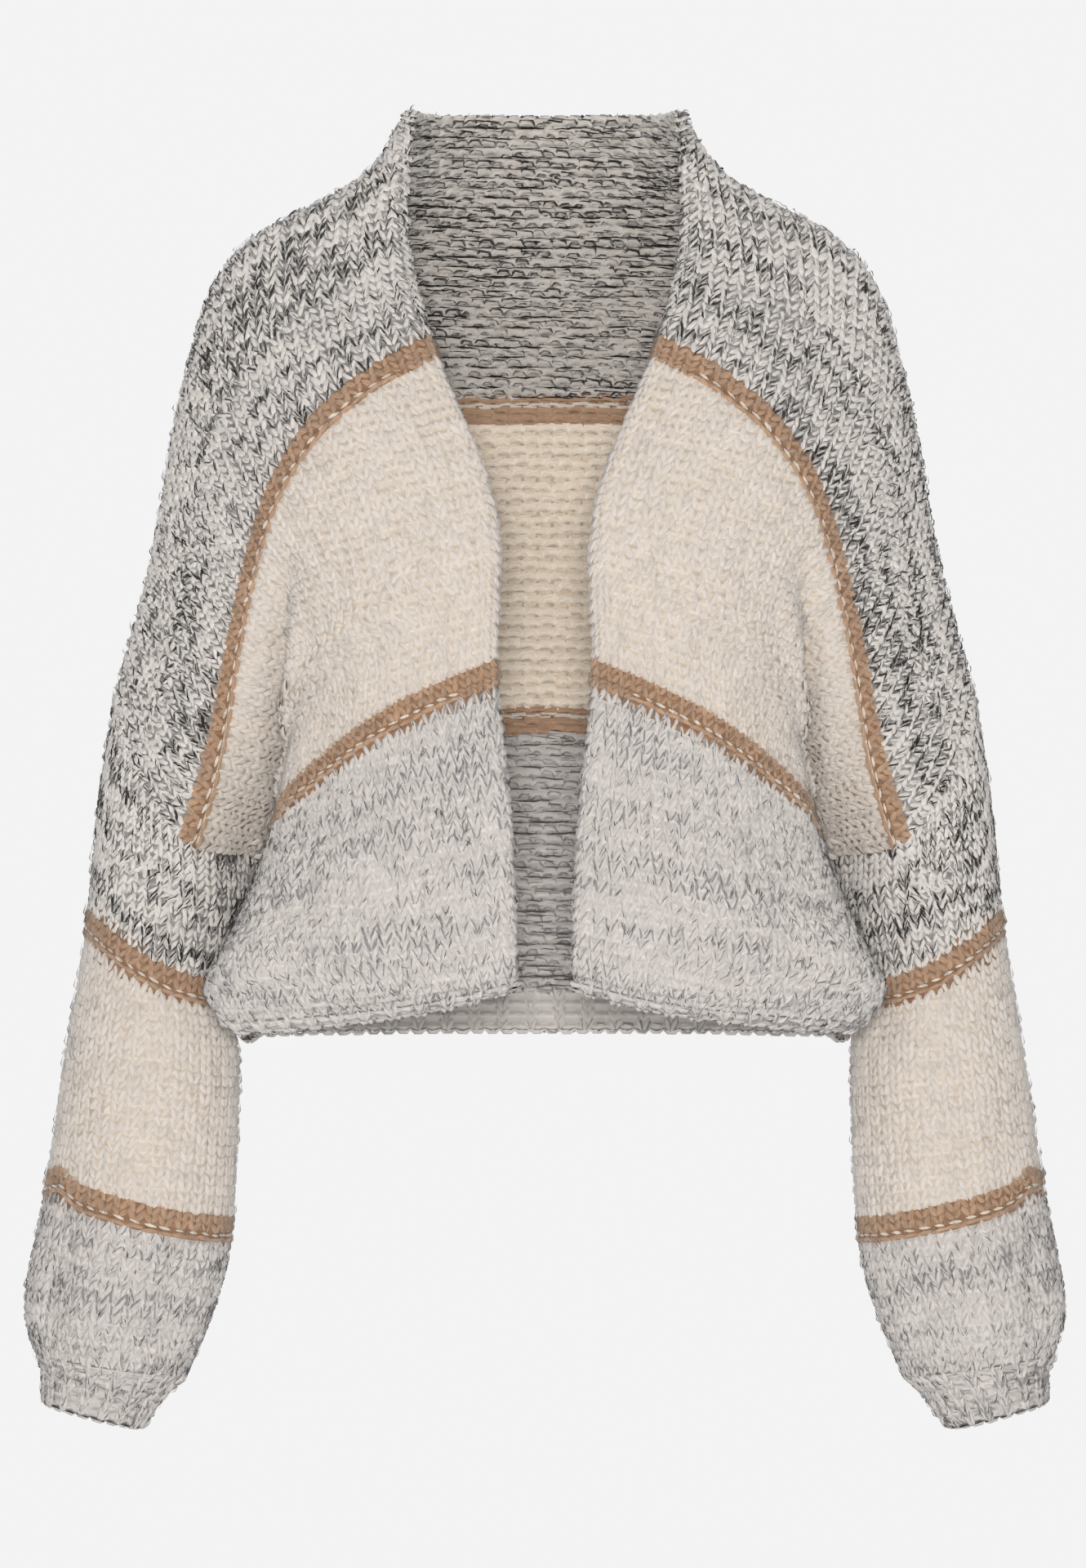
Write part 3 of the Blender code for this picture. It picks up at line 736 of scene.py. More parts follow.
# ---- walls ----
def wall(name, cloth, raised, blocks, mirrored):
    """The thin closed wall of a panel, with a material for each block of its rows."""
    rows, columns = cloth.grid.shape[:2]
    columns -= cloth.tube  # a tube's last column is its first one again
    grid, out, raised = cloth.grid[:, :columns], cloth.out[:, :columns], raised[:, :columns]
    outer = grid + out * (WALL / 2 - SET_IN + raised)[:, :, None]
    inner = grid - out * (WALL / 2 + SET_IN)
    points = np.concatenate([outer.reshape(-1, 3), inner.reshape(-1, 3)]) * METRES_PER_MM
    size = rows * columns
    at = np.arange(size).reshape(rows, columns)
    if cloth.tube:
        at = closed_columns(at)

    def rim(start, end):
        return np.stack([start, end, end + size, start + size], axis=-1)

    quads = np.stack([at[:-1, :-1], at[:-1, 1:], at[1:, 1:], at[1:, :-1]], axis=-1).reshape(-1, 4)
    faces = [quads, quads[:, ::-1] + size, rim(at[0, 1:], at[0, :-1]), rim(at[-1, :-1], at[-1, 1:])]
    if not cloth.tube:
        faces += [rim(at[:-1, 0], at[1:, 0]), rim(at[1:, -1], at[:-1, -1])]
    faces = np.concatenate(faces)
    block_rows = np.minimum(faces.min(axis=1) % size // columns, rows - 2)
    if mirrored:
        points = points * FLIP
        faces = faces[:, ::-1]
    mesh = new_mesh(name, points.tolist(), faces.tolist())
    yarns = sorted(set(blocks))
    for yarn in yarns:
        mesh.materials.append(MATERIALS[yarn + "_ground"])
    mesh.polygons.foreach_set("material_index", np.array([yarns.index(blocks[row]) for row in block_rows]))
    flat = np.stack([lengths_along(grid.transpose(1, 0, 2)).T, lengths_along(grid)], axis=-1)
    flat = np.tile(flat.reshape(-1, 2) * METRES_PER_MM, (2, 1))
    layer = mesh.uv_layers.new(name="UVMap")
    corners = np.empty(len(mesh.loops), dtype=int)
    mesh.loops.foreach_get("vertex_index", corners)
    layer.data.foreach_set("uv", flat[corners].astype(np.float32).ravel())
    mesh.shade_smooth()
    mesh.update()
    piece = add_object(name, mesh)
    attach(piece, "root")
    return piece


# ---- materials ----
SEED_SHIFT = 53.0  # moves the fibres of one stitch away from those of the next
SHADE_SHIFT = 9.0  # and sets stitches of unlike shade apart too
FIBRE_LENGTH = 0.34  # less draws the fibres out along the strand
FIBRE_MIDDLE = 0.35  # fibres paler than this lighten the yarn
FIBRE_CONTRAST = 2.2  # of the fibres' light and dark in a plain yarn
PLIED_CONTRAST = 3.0  # and in the marls
FIBRE_SCALE = 7.0
FIBRE_RELIEF = 0.0010  # in metres, as is the ground's
MARL_SHEEN = 0.35
GROUND_RELIEF = 0.0012
GROUND_SHEEN = 0.1
GROUND_SPECKLE = 150.0
ROW_PAINTED_LIGHT_AND_SHADE = 0.2  # how much lighter the ground is painted on its ridges, and darker in its troughs: painted light and shade
WALE_DEPTH = 0.5  # how deep the ground dips between wales, where 1 is the depth between rows
SHADE_TONE = 0.35  # how much lighter the palest stitch is than the darkest
PLY_SLANT = 0.45  # turns of the twist along one strand
PLY_SHIFT = 7.0  # and how far they start apart from stitch to stitch
PLY_FRAYED = 0.7  # how far the fibres ruffle the edge of a streak
PLY_SHARPNESS = 3.6  # more gives streaks a harder edge


def linear(code):
    """The linear colour of an sRGB hex value."""
    values = [int(code[i : i + 2], 16) / 255 for i in (1, 3, 5)]
    return [v / 12.92 if v <= 0.04045 else ((v + 0.055) / 1.055) ** 2.4 for v in values] + [1.0]


def set_inputs(shader, values):
    for socket, value in values.items():
        shader.inputs[socket].default_value = value


def wool_shader(tree, colour, bump_height, bump_distance, sheen):
    """Dull, soft wool: hardly any gloss, a little sheen of fibres, and fine relief."""
    shader = tree.nodes["Principled BSDF"]
    set_inputs(shader, {"Roughness": 0.92, "Specular IOR Level": 0.2})
    set_inputs(shader, {"Sheen Weight": sheen, "Sheen Roughness": 0.6})
    relief = {"Strength": 0.7, "Distance": bump_distance}
    bump = node(tree, "ShaderNodeBump", relief, {"Height": bump_height})
    tree.links.new(colour, shader.inputs["Base Color"])
    tree.links.new(bump.outputs["Normal"], shader.inputs["Normal"])


def new_material(name):
    material = bpy.data.materials.new(name)
    material.use_nodes = True
    return material, material.node_tree


def put(tree, made, socket, value):
    """Links a source to a socket, or sets the socket to a plain value."""
    if isinstance(value, bpy.types.NodeSocket):
        tree.links.new(value, made.inputs[socket])
    else:
        made.inputs[socket].default_value = value


def math_node(tree, operation, a, b=None, clamp=False):
    made = node(tree, "ShaderNodeMath", {"operation": operation, "use_clamp": clamp})
    put(tree, made, 0, a)
    if b is not None:
        put(tree, made, 1, b)
    return made.outputs[0]


def times(tree, a, b, clamp=False):
    return math_node(tree, "MULTIPLY", a, b, clamp)


def plus(tree, a, b, clamp=False):
    return math_node(tree, "ADD", a, b, clamp)


def minus(tree, a, b):
    return math_node(tree, "SUBTRACT", a, b)


def colour_mix(tree, factor, a, b):
    made = node(tree, "ShaderNodeMix", {"data_type": "RGBA"})
    put(tree, made, "Factor", factor)
    put(tree, made, 6, a)
    put(tree, made, 7, b)
    return made.outputs[2]


def noise(tree, scale, place):
    made = node(tree, "ShaderNodeTexNoise", {"Scale": scale, "Detail": 3.0}, {"Vector": place})
    return made.outputs["Fac"]


def uv_parts(tree):
    uv = node(tree, "ShaderNodeUVMap", {"uv_map": "UVMap"})
    parts = node(tree, "ShaderNodeSeparateXYZ", {}, {0: uv.outputs[0]})
    return parts.outputs[0], parts.outputs[1]


def yarn_parts(tree):
    """What the yarns share: places across and along a strand, a stitch's shade and seed, and its fibres."""
    u, along = uv_parts(tree)
    shade = node(tree, "ShaderNodeAttribute", {"attribute_name": "shade"}).outputs["Fac"]
    seed = node(tree, "ShaderNodeAttribute", {"attribute_name": "seed"}).outputs["Fac"]
    across = plus(tree, u, times(tree, seed, SEED_SHIFT))
    axes = {0: across, 1: times(tree, along, FIBRE_LENGTH), 2: times(tree, shade, SHADE_SHIFT)}
    strand = node(tree, "ShaderNodeCombineXYZ", {}, axes)
    fibres = noise(tree, FIBRE_SCALE, strand.outputs[0])
    return {"across": u, "along": along, "shade": shade, "seed": seed, "fibres": fibres}


def plied_yarn(name, light, pale, dark, most):
    """Marl: a pale ply twisted with a dark one, which runs along each leg of a stitch as a slanting streak.

    shade says how much of the dark ply shows on a stitch, at most the share most, and seed where it lies.
    """
    material, tree = new_material(name)
    yarn = yarn_parts(tree)
    wound = plus(tree, yarn["across"], times(tree, yarn["along"], PLY_SLANT))
    wound = plus(tree, wound, times(tree, yarn["seed"], PLY_SHIFT))
    wound = plus(tree, wound, times(tree, yarn["fibres"], PLY_FRAYED))
    wave = times(tree, math_node(tree, "PINGPONG", wound, 0.5), 2.0)
    share = times(tree, yarn["shade"], most)
    cover = times(tree, minus(tree, share, wave), PLY_SHARPNESS)
    cover = plus(tree, cover, 0.5, clamp=True)
    tone = times(tree, minus(tree, yarn["fibres"], FIBRE_MIDDLE), PLIED_CONTRAST, clamp=True)
    ground = colour_mix(tree, tone, linear(pale), linear(light))
    colour = colour_mix(tree, cover, ground, linear(dark))
    wool_shader(tree, colour, yarn["fibres"], FIBRE_RELIEF, MARL_SHEEN)
    return material


def single_yarn(name, light, dark, sheen):
    """One colour of brushed wool: each stitch a little lighter or darker, with fibres along the strand."""
    material, tree = new_material(name)
    yarn = yarn_parts(tree)
    tone = times(tree, minus(tree, yarn["fibres"], FIBRE_MIDDLE), FIBRE_CONTRAST)
    mixed = plus(tree, times(tree, yarn["shade"], SHADE_TONE), tone, clamp=True)
    colour = colour_mix(tree, mixed, linear(dark), linear(light))
    wool_shader(tree, colour, yarn["fibres"], FIBRE_RELIEF, sheen)
    return material


def ground_cloth(name, light, dark):
    """The cloth between and behind the stitches: purl ridges one course apart, in the yarn's tone darkened
    with painted shade, and painted lighter on the ridges.
    """
    material, tree = new_material(name)
    u, v = uv_parts(tree)
    rows = times(tree, v, MM_PER_METRE / COURSE)
    wales = times(tree, u, MM_PER_METRE / WALE)
    row_wave = math_node(tree, "SINE", times(tree, rows, 2 * math.pi))
    wale_wave = math_node(tree, "SINE", times(tree, wales, 2 * math.pi))
    height = plus(tree, row_wave, times(tree, wale_wave, WALE_DEPTH))
    place = node(tree, "ShaderNodeTexCoord").outputs["Object"]
    speckle = noise(tree, GROUND_SPECKLE, place)
    # the row wave that raises the ridges also paints them lighter and the troughs darker: painted light and
    # shade
    mixed = plus(tree, times(tree, row_wave, ROW_PAINTED_LIGHT_AND_SHADE), speckle, clamp=True)
    colour = colour_mix(tree, mixed, linear(dark), linear(light))
    wool_shader(tree, colour, height, GROUND_RELIEF, GROUND_SHEEN)
    return material


MATERIALS = {
    # the marls read as pale wool streaked near black in the upper block and soft grey in the lower one
    "dark_marl": plied_yarn("dark_marl_wool", "#d9d3cd", "#beb8b1", "#1f1b19", 0.41),
    "light_marl": plied_yarn("light_marl_wool", "#cac4be", "#b6afaa", "#807e7d", 0.38),
    # the dark marl inside the back is a darker copy of the same yarn: painted shade
    "dark_marl_purl": plied_yarn("dark_marl_inside_painted_shade", "#cac5be", "#aba299", "#241f1c", 0.40),
    # inside, where the cream lies in the shade of the fronts, it is a warmer copy: its pale end is painted
    # light for the bumps, its deep end painted shade for the half rows between them
    "cream_purl": single_yarn("cream_inside_painted_light_and_shade", "#f0e4d5", "#cdb79c", 0.5),
    # plain brushed wools: a soft off-white, a warm light brown, and pale floats on the brown
    "cream": single_yarn("cream_wool", "#ccc4bc", "#bfb4a9", 0.5),
    "camel": single_yarn("camel_wool", "#b8977b", "#937359", 0.3),
    "dash": single_yarn("pale_float_yarn", "#d9d0c5", "#c4b9ab", 0.3),
    # the grounds are the same wools darkened with painted shade, so the gaps between stitches look deep
    "dark_marl_ground": ground_cloth("dark_marl_ground", "#b5b0ab", "#5a5859"),
    "light_marl_ground": ground_cloth("light_marl_ground", "#cfc8c2", "#aaa5a1"),
    "cream_ground": ground_cloth("cream_ground", "#d2c7ba", "#b7a795"),
    "camel_ground": ground_cloth("camel_ground", "#99775a", "#735640"),
}
# loose hairs, a little paler than their yarn, which blur the edges of the stitches
HAIR_YARN = {
    "dark_marl": single_yarn("marl_hair", "#e6e2dd", "#a9a5a1", 0.5),
    "light_marl": single_yarn("pale_marl_hair", "#c8c1bb", "#b2aca7", 0.5),
    "cream": single_yarn("cream_hair", "#cec6be", "#c3b9af", 0.5),
    "camel": single_yarn("camel_hair", "#c2a184", "#a38267", 0.4),
}
# the runs of dark ply, matt black in the dark marl and mid grey in the light one
DARK_PLY = {
    "dark_marl": single_yarn("black_ply", "#332d2a", "#191513", 0.0),
    "light_marl": single_yarn("grey_ply", "#727071", "#494747", 0.0),
}


# ---- putting the garment together ----
def flat_size(cloth):
    """The cloth's flat width, height and area, in metres."""
    widths = lengths_along(cloth.grid.transpose(1, 0, 2))[-1]
    across = np.cross(np.diff(cloth.grid, axis=1)[:-1], np.diff(cloth.grid, axis=0)[:, :-1])
    area = np.linalg.norm(across, axis=2).sum()
    return (
        float(widths.max()) * METRES_PER_MM,
        float(cloth.heights[-1].max()) * METRES_PER_MM,
        float(area) * METRES_PER_MM**2,
    )


def block_of_rows(cloth):
    """The yarn of each row of the fine surface, judged at the middle column."""
    column = cloth.grid.shape[1] // 2
    middles = (cloth.heights[:-1, column] + cloth.heights[1:, column]) / 2
    low, high = (cloth.heights[cloth.marks[mark], column] for mark in ("stripe_low", "stripe_high"))
    half = STRIPE_HEIGHT / 2
    edges = (low - half, low + half, high - half, high + half)
    yarns = (BLOCKS[0], "camel", BLOCKS[1], "camel", BLOCKS[2])
    return [yarns[int(np.searchsorted(edges, height, side="right"))] for height in middles]


# ---- how the stitches, the runs of dark ply and the hairs vary, as a hand and the brushing leave them ----
RANDOM_START = 7
LIGHT_MARL_EVEN = 0.2  # how much of the light marl's shade is even and not pooled
STITCH_STRAY = 0.8  # the width of the band in which each stitch strays
STITCH_UNEVEN = (0.2, 0.3, 0.4)  # and the same of its width, height and depth, as shares of them
STITCH_TURNED = 0.22  # and of its direction
MORE_PLIES = 1.5  # the light marl, and the inside, show this many times the runs
PLY_POOLING = 1.5  # more keeps the runs to the dark pools
PLY_RAISED = 0.78  # how high on a stitch a run lies, as a share of the stitch's depth
PLY_LENGTH = (0.5, 0.6)  # the shortest run, and how much longer the longest one is
INSIDE_PLY_LENGTH = (0.9, 1.1)
THINNEST_PLY = 0.25
THICKER_PLY = 0.8  # how much thicker the thickest run is than the thinnest
INSIDE_PLY_STRAY = 0.05
ON_BUMP = 0.75  # the share of the inside's runs that lie on a row of bumps, and not between two
BUMP_PLACE = -0.42  # where a row of bumps lies in its course
BETWEEN_PLACE = 0.12
LEG_START = -0.35  # where a leg's runs start in their course
LEG_TALL = 0.9  # and how much of a course they take up
LEG_FOOT = 0.15  # how far from the middle of its wale a leg is at its foot
LEG_FOOT_PLACE = -0.30  # where in its course the foot is
LEG_PARTS = 0.26  # how fast the two legs part upwards
LEG_STRAY = 0.6  # how far a run lies beside its leg, where 1 is how far it turns from it
HAIR_TURNED = 0.42  # how far a hair turns from its column, in radians
HAIR_RAISED = 0.6  # how high on a stitch a hair starts, as a share of the stitch's depth
SHORTEST_HAIR = 0.5
LONGER_HAIR = 0.7  # how much longer the longest hair is
HAIR_LIES = 0.6  # how high a hair lies, and how much higher a few of them lift
HAIR_LIFTS = 3.0
LEAST_INSIDE_SHADE = 0.3  # the least share of dark ply on an inside bump, and how far the others differ
INSIDE_SPREAD = 0.4
INSIDE_TALL = (1.2, 1.35)  # how much taller than a course the inside's bumps are, in cream and elsewhere
INSIDE_WIDE = 1.15
INSIDE_STRAY = 0.5
BETWEEN_MOVED = (0.5, -0.45)  # where the half rows lie, in wales and courses
EDGE_BUMP_WIDE = 1.05
SMALLEST_EDGE_BUMP = 0.9
LARGER_EDGE_BUMP = 0.2


class Knitter:
    """Gathers stitches by piece, then lays them."""

    def __init__(self):
        self.rng = np.random.default_rng(RANDOM_START)
        self.tree = laying_tree()
        self.shapes = {kind: small_shape(kind) for kind in STRANDS}

    def shades(self, stitches):
        """How much dark ply each stitch of a marl shows, in pools; in the other yarns, how light it is."""
        rows, wales = stitches.shown.shape
        pooled = pooled_shade(self.rng, rows, wales)
        even = self.rng.random((rows, wales))
        softened = (1.0 - LIGHT_MARL_EVEN) * pooled + LIGHT_MARL_EVEN * even
        pooled = np.where(stitches.yarns == "light_marl", softened, pooled)
        return np.where(np.char.endswith(stitches.yarns, "marl"), pooled, even)

    def around_zero(self, *shape):
        """Even random numbers from -0.5 to 0.5."""
        return self.rng.random(shape) - 0.5

    def lay(self, name, kind, yarn, points, out, up, size, shade, seeds, mirrored):
        """A plain mesh of one small shape on each point, in the material yarn; lengths in millimetres."""
        if mirrored:
            points, out, up = points * FLIP, out * FLIP, up * FLIP
        mesh = new_mesh(name, (points * METRES_PER_MM).tolist(), [])
        for label, values in (("out", out), ("up", up), ("size", size * METRES_PER_MM)):
            data = mesh.attributes.new(label, "FLOAT_VECTOR", "POINT").data
            data.foreach_set("vector", values.astype(np.float32).ravel())
        for label, values in (("shade", shade), ("seed", seeds)):
            data = mesh.attributes.new(label, "FLOAT", "POINT").data
            data.foreach_set("value", values.astype(np.float32).ravel())
        points_object = add_object(name + "_points", mesh)
        laying = points_object.modifiers.new("lay", "NODES")
        laying.node_group = self.tree
        given = self.tree.interface.items_tree
        laying[given["Shape"].identifier] = self.shapes[kind]
        laying[given["Yarn"].identifier] = yarn
        evaluated = points_object.evaluated_get(bpy.context.evaluated_depsgraph_get())
        made = bpy.data.meshes.new_from_object(evaluated)
        made.name = name
        bpy.data.objects.remove(points_object)
        places = np.empty(len(made.vertices) * 3, dtype=np.float32)
        made.vertices.foreach_get("co", places)
        uneven = YARN_UNEVEN[kind] * METRES_PER_MM
        stray = np.random.default_rng(len(places)).normal(0.0, uneven, len(places))  # the same in every run
        made.vertices.foreach_set("co", places + stray.astype(np.float32))
        soften(made, SOFTNESS[kind])
        piece = add_object(name, made)
        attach(piece, "root")
        return piece

    def some_of(self, chosen, share):
        """Rows and wales of stitches drawn at random from the chosen ones, share draws for each of them."""
        places = np.argwhere(chosen)
        return places[self.rng.integers(0, len(places), int(len(places) * share))].T

    def lay_chosen(
        self, name, kind, yarn, stitches, chosen, shade, inside=False, knit_down=False, mirrored=False
    ):
        """Lays one kind of stitch in one yarn; inside is for the inner side of the cloth."""
        side = -1.0 if inside else 1.0
        out = stitches.out[chosen] * side
        up = stitches.up[chosen] * (-1.0 if knit_down else 1.0)
        count = len(out)
        stray = self.around_zero(count, 3) * STITCH_STRAY
        points = stitches.points[chosen] + out * (WALL / 2 - SET_IN * side - SUNK) + stray
        size = np.stack([stitches.wide[chosen], stitches.tall[chosen], np.full(count, YARN_HEIGHT)], axis=1)
        size *= 1.0 + self.around_zero(count, 3) * np.array(STITCH_UNEVEN)
        up = unit(up + self.around_zero(count, 3) * STITCH_TURNED)
        # inside, the dark marl takes its copy with painted shade, and the cream its copy with painted light
        # and shade
        material = MATERIALS.get(yarn + "_purl", MATERIALS[yarn]) if inside else MATERIALS[yarn]
        seeds = self.rng.random(count)
        return self.lay(name, kind, material, points, out, up, size, shade[chosen], seeds, mirrored)

    def outside(self, name, stitches, knit_down, mirrored):
        """Lays the outer stitches of a panel, one piece for each yarn and kind, and its loose hairs."""
        shade = self.shades(stitches)
        sides = {"knit_down": knit_down, "mirrored": mirrored}
        pieces = []
        for yarn in np.unique(stitches.yarns):
            label = f"{name}_{yarn}"
            for kind in np.unique(stitches.kinds):
                chosen = stitches.shown & (stitches.kinds == kind) & (stitches.yarns == yarn)
                if chosen.any():
                    piece = f"{label}_{kind}"
                    pieces.append(self.lay_chosen(piece, kind, yarn, stitches, chosen, shade, **sides))
            if yarn in HAIR_YARN:
                pieces.append(self.hairs(f"{label}_hairs", yarn, stitches, mirrored))
            if yarn in DARK_PLY:
                pieces.append(self.plies(f"{label}_dark_ply", yarn, stitches, shade, mirrored))
        return pieces

    def plies(self, name, yarn, stitches, shade, mirrored=False, inside=False):
        """Runs of the dark ply along the legs of the stitches, more of them where the marl pools dark.

        Inside they run along the courses.
        """
        chosen = stitches.shown & (stitches.yarns == yarn)
        if inside:
            chosen = chosen & (np.abs(stitches.points[:, :, 0]) < INSIDE_REACH)
        more = MORE_PLIES if inside or yarn == "light_marl" else 1.0
        rows, wales = self.some_of(chosen, PLIES_PER_STITCH * more)
        least = LEAST_INSIDE_PLY[yarn] if inside else LEAST_PLY[yarn]
        kept = self.rng.random(len(rows)) < least + (1 - least) * shade[rows, wales] ** PLY_POOLING
        rows, wales = rows[kept], wales[kept]
        count = len(rows)
        out, up = stitches.out[rows, wales], stitches.up[rows, wales]
        across = np.cross(up, out)
        side = np.where(self.rng.random(count) < 0.5, -1.0, 1.0)[:, None]
        if inside:
            out = -out
            turn = side * math.pi / 2 + self.rng.normal(0.0, INSIDE_PLY_STRAY, (count, 1))
            beside = self.around_zero(count, 1)
            on_bump = self.rng.random((count, 1)) < ON_BUMP
            above = np.where(on_bump, BUMP_PLACE, BETWEEN_PLACE)
            above = above + self.rng.normal(0.0, INSIDE_PLY_STRAY, (count, 1))
            shortest, longer = INSIDE_PLY_LENGTH
        else:
            stray = PLY_STRAY[yarn]
            turn = side * LEG_LEAN + self.rng.normal(0.0, stray, (count, 1))
            above = self.rng.random((count, 1)) * LEG_TALL + LEG_START
            beside = side * (LEG_FOOT + (above - LEG_FOOT_PLACE) * LEG_PARTS)
            beside = beside + self.rng.normal(0.0, stray * LEG_STRAY, (count, 1))
            shortest, longer = PLY_LENGTH
        points = stitches.points[rows, wales] + across * beside * WALE + up * above * COURSE
        cloth_face = WALL / 2 - SET_IN * (-1.0 if inside else 1.0) - SUNK
        points = points + out * (cloth_face + YARN_HEIGHT * PLY_RAISED)
        if inside:
            points = points + out * INSIDE_RAISED
        up = unit(up * np.cos(turn) + across * np.sin(turn))
        long = shortest + longer * self.rng.random((count, 1))
        wide = THINNEST_PLY + THICKER_PLY * self.rng.random((count, 1))
        size = np.concatenate([wide, long, np.ones((count, 1))], axis=1)
        size[:, :2] *= 1.0 if inside else PLY_SIZE[yarn]
        seeds = self.rng.random(count)
        return self.lay(name, "ply", DARK_PLY[yarn], points, out, up, size, seeds, seeds, mirrored)

    def hairs(self, name, yarn, stitches, mirrored):
        """Loose hairs of the brushed yarn, which lie over the stitches roughly along the columns."""
        rows, wales = self.some_of(stitches.shown & (stitches.yarns == yarn), HAIRS_PER_STITCH[yarn])
        count = len(rows)
        out, up = stitches.out[rows, wales], stitches.up[rows, wales]
        across = np.cross(out, up)
        turn = self.rng.normal(0.0, HAIR_TURNED, count)[:, None]
        points = stitches.points[rows, wales] + across * self.around_zero(count, 1) * WALE
        points = points + out * (WALL / 2 - SET_IN + YARN_HEIGHT * HAIR_RAISED)
        up = unit(up * np.cos(turn) + across * np.sin(turn))
        size = (SHORTEST_HAIR + LONGER_HAIR * self.rng.random((count, 1))) * np.ones((1, 3))
        size[:, 2] *= self.rng.random(count) ** 3 * HAIR_LIFTS + HAIR_LIES
        shade, seeds = self.rng.random(count), self.rng.random(count)
        return self.lay(name, "hair", HAIR_YARN[yarn], points, out, up, size, shade, seeds, mirrored)

    def inside(self, name, stitches):
        """Lays the purl bumps that show inside the back, and deeper half rows between them."""
        cream = stitches.yarns == "cream"
        shade = LEAST_INSIDE_SHADE + INSIDE_SPREAD * self.shades(stitches)
        near = np.abs(stitches.points[:, :, 0]) < INSIDE_REACH
        between = stitches.moved(*BETWEEN_MOVED)
        between.points = between.points + between.out * (BETWEEN_SUNK - INSIDE_RAISED)
        rows = stitches.moved(self.around_zero(len(stitches.wide), 1), 0.0)
        rows.tall = rows.tall * np.where(cream, *INSIDE_TALL)
        rows.wide = rows.wide * INSIDE_WIDE
        rows.points = rows.points + rows.up * self.rng.normal(0.0, INSIDE_STRAY, rows.wide.shape)[:, :, None]
        rows.points = rows.points - rows.out * INSIDE_RAISED
        # in the cream, the bumps lean to their copy's pale end, painted light, and the half rows between
        # them to its deep end, painted shade
        deep_shade = np.where(cream, 0.0, shade)
        shade = np.where(cream, 1.0, shade)
        pieces = []
        for yarn in np.unique(stitches.yarns):
            chosen = stitches.shown & near & (stitches.yarns == yarn)
            label = f"{name}_{yarn}"
            pieces.append(self.lay_chosen(label, "purl", yarn, rows, chosen, shade, inside=True))
            deep = f"{label}_between"
            pieces.append(
                self.lay_chosen(deep, "purl", yarn, between, chosen, deep_shade, inside=True, knit_down=True)
            )
            if yarn in DARK_PLY:
                pieces.append(self.plies(f"{label}_dark_ply", yarn, stitches, shade, inside=True))
        return pieces

    def inner_rib(self, name, stitches):
        """The inner side of a rib, where the outer side's purl columns are knit and its knit ones purl."""
        shade = self.shades(stitches)
        pieces = []
        for kind, other in (("purl", "knit"), ("knit", "purl")):
            chosen = stitches.shown & (stitches.kinds == other)
            label = f"{name}_{kind}"
            pieces.append(self.lay_chosen(label, kind, "light_marl", stitches, chosen, shade, inside=True))
        return pieces

    def bound_edge(self, name, yarn, line, away, mirrored=False):
        """A row of bumps along a free edge; away points out of the cloth, past its edge."""
        lengths = lengths_along(line)
        count = int(round(lengths[-1] / WALE))
        wanted = (np.arange(count) + 0.5) / count * lengths[-1]
        found = at_lengths(np.concatenate([line, away], axis=1), wanted, lengths)
        points, out = found[:, :3], unit(found[:, 3:])
        up = unit(np.cross(out, unit(np.gradient(points, axis=0))))
        size = np.array([[WALE * EDGE_BUMP_WIDE, COURSE, YARN_HEIGHT]])
        size = size * (SMALLEST_EDGE_BUMP + LARGER_EDGE_BUMP * self.rng.random((count, 1)))
        shade, seeds = self.rng.random(count), self.rng.random(count)
        return self.lay(name, "purl", MATERIALS[yarn], points, out, up, size, shade, seeds, mirrored)


def dress_panel(knitter, node_name, cloth, stitches, knit_down=False, mirrored=False, rib=None):
    """The ground of a panel, in place of its solid, and its stitches; rib says how far columns stand out."""
    blocks = block_of_rows(cloth) if rib is None else ["light_marl"] * (len(cloth.grid) - 1)
    raised = np.zeros(cloth.grid.shape[:2]) if rib is None else np.tile(rib, (len(cloth.grid), 1))
    name = node_name + "_knit"
    ground = wall(name, cloth, raised, blocks, mirrored)
    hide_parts(node_name)
    return ground, knitter.outside(name, stitches, knit_down, mirrored)


def declare(cloth):
    """Works out the flat width, height and area of a panel's cloth; nothing uses them."""
    width, height, area = flat_size(cloth)


def dress_rib(knitter, node_name, ribbed, mirrored=False, inner=False):
    """A cuff or a hem band, with the bumps of its free edge; inner is for one whose inner side shows."""
    cloth, ribs, raised = ribbed
    courses = plain_courses("light_marl", cloth.heights[0], cloth.heights[-1])
    stitches = Stitches(cloth, courses, wales=2 * ribs, phase=0.0)
    stitches.rib()
    ground, pieces = dress_panel(knitter, node_name, cloth, stitches, False, mirrored, raised)
    if inner:
        pieces += knitter.inner_rib(node_name + "_inner", stitches)
    away = unit(cloth.grid[0] - cloth.grid[1])
    line = cloth.grid[0] - cloth.out[0] * SET_IN
    pieces.append(knitter.bound_edge(node_name + "_free_edge", "light_marl", line, away, mirrored))
    declare(cloth)


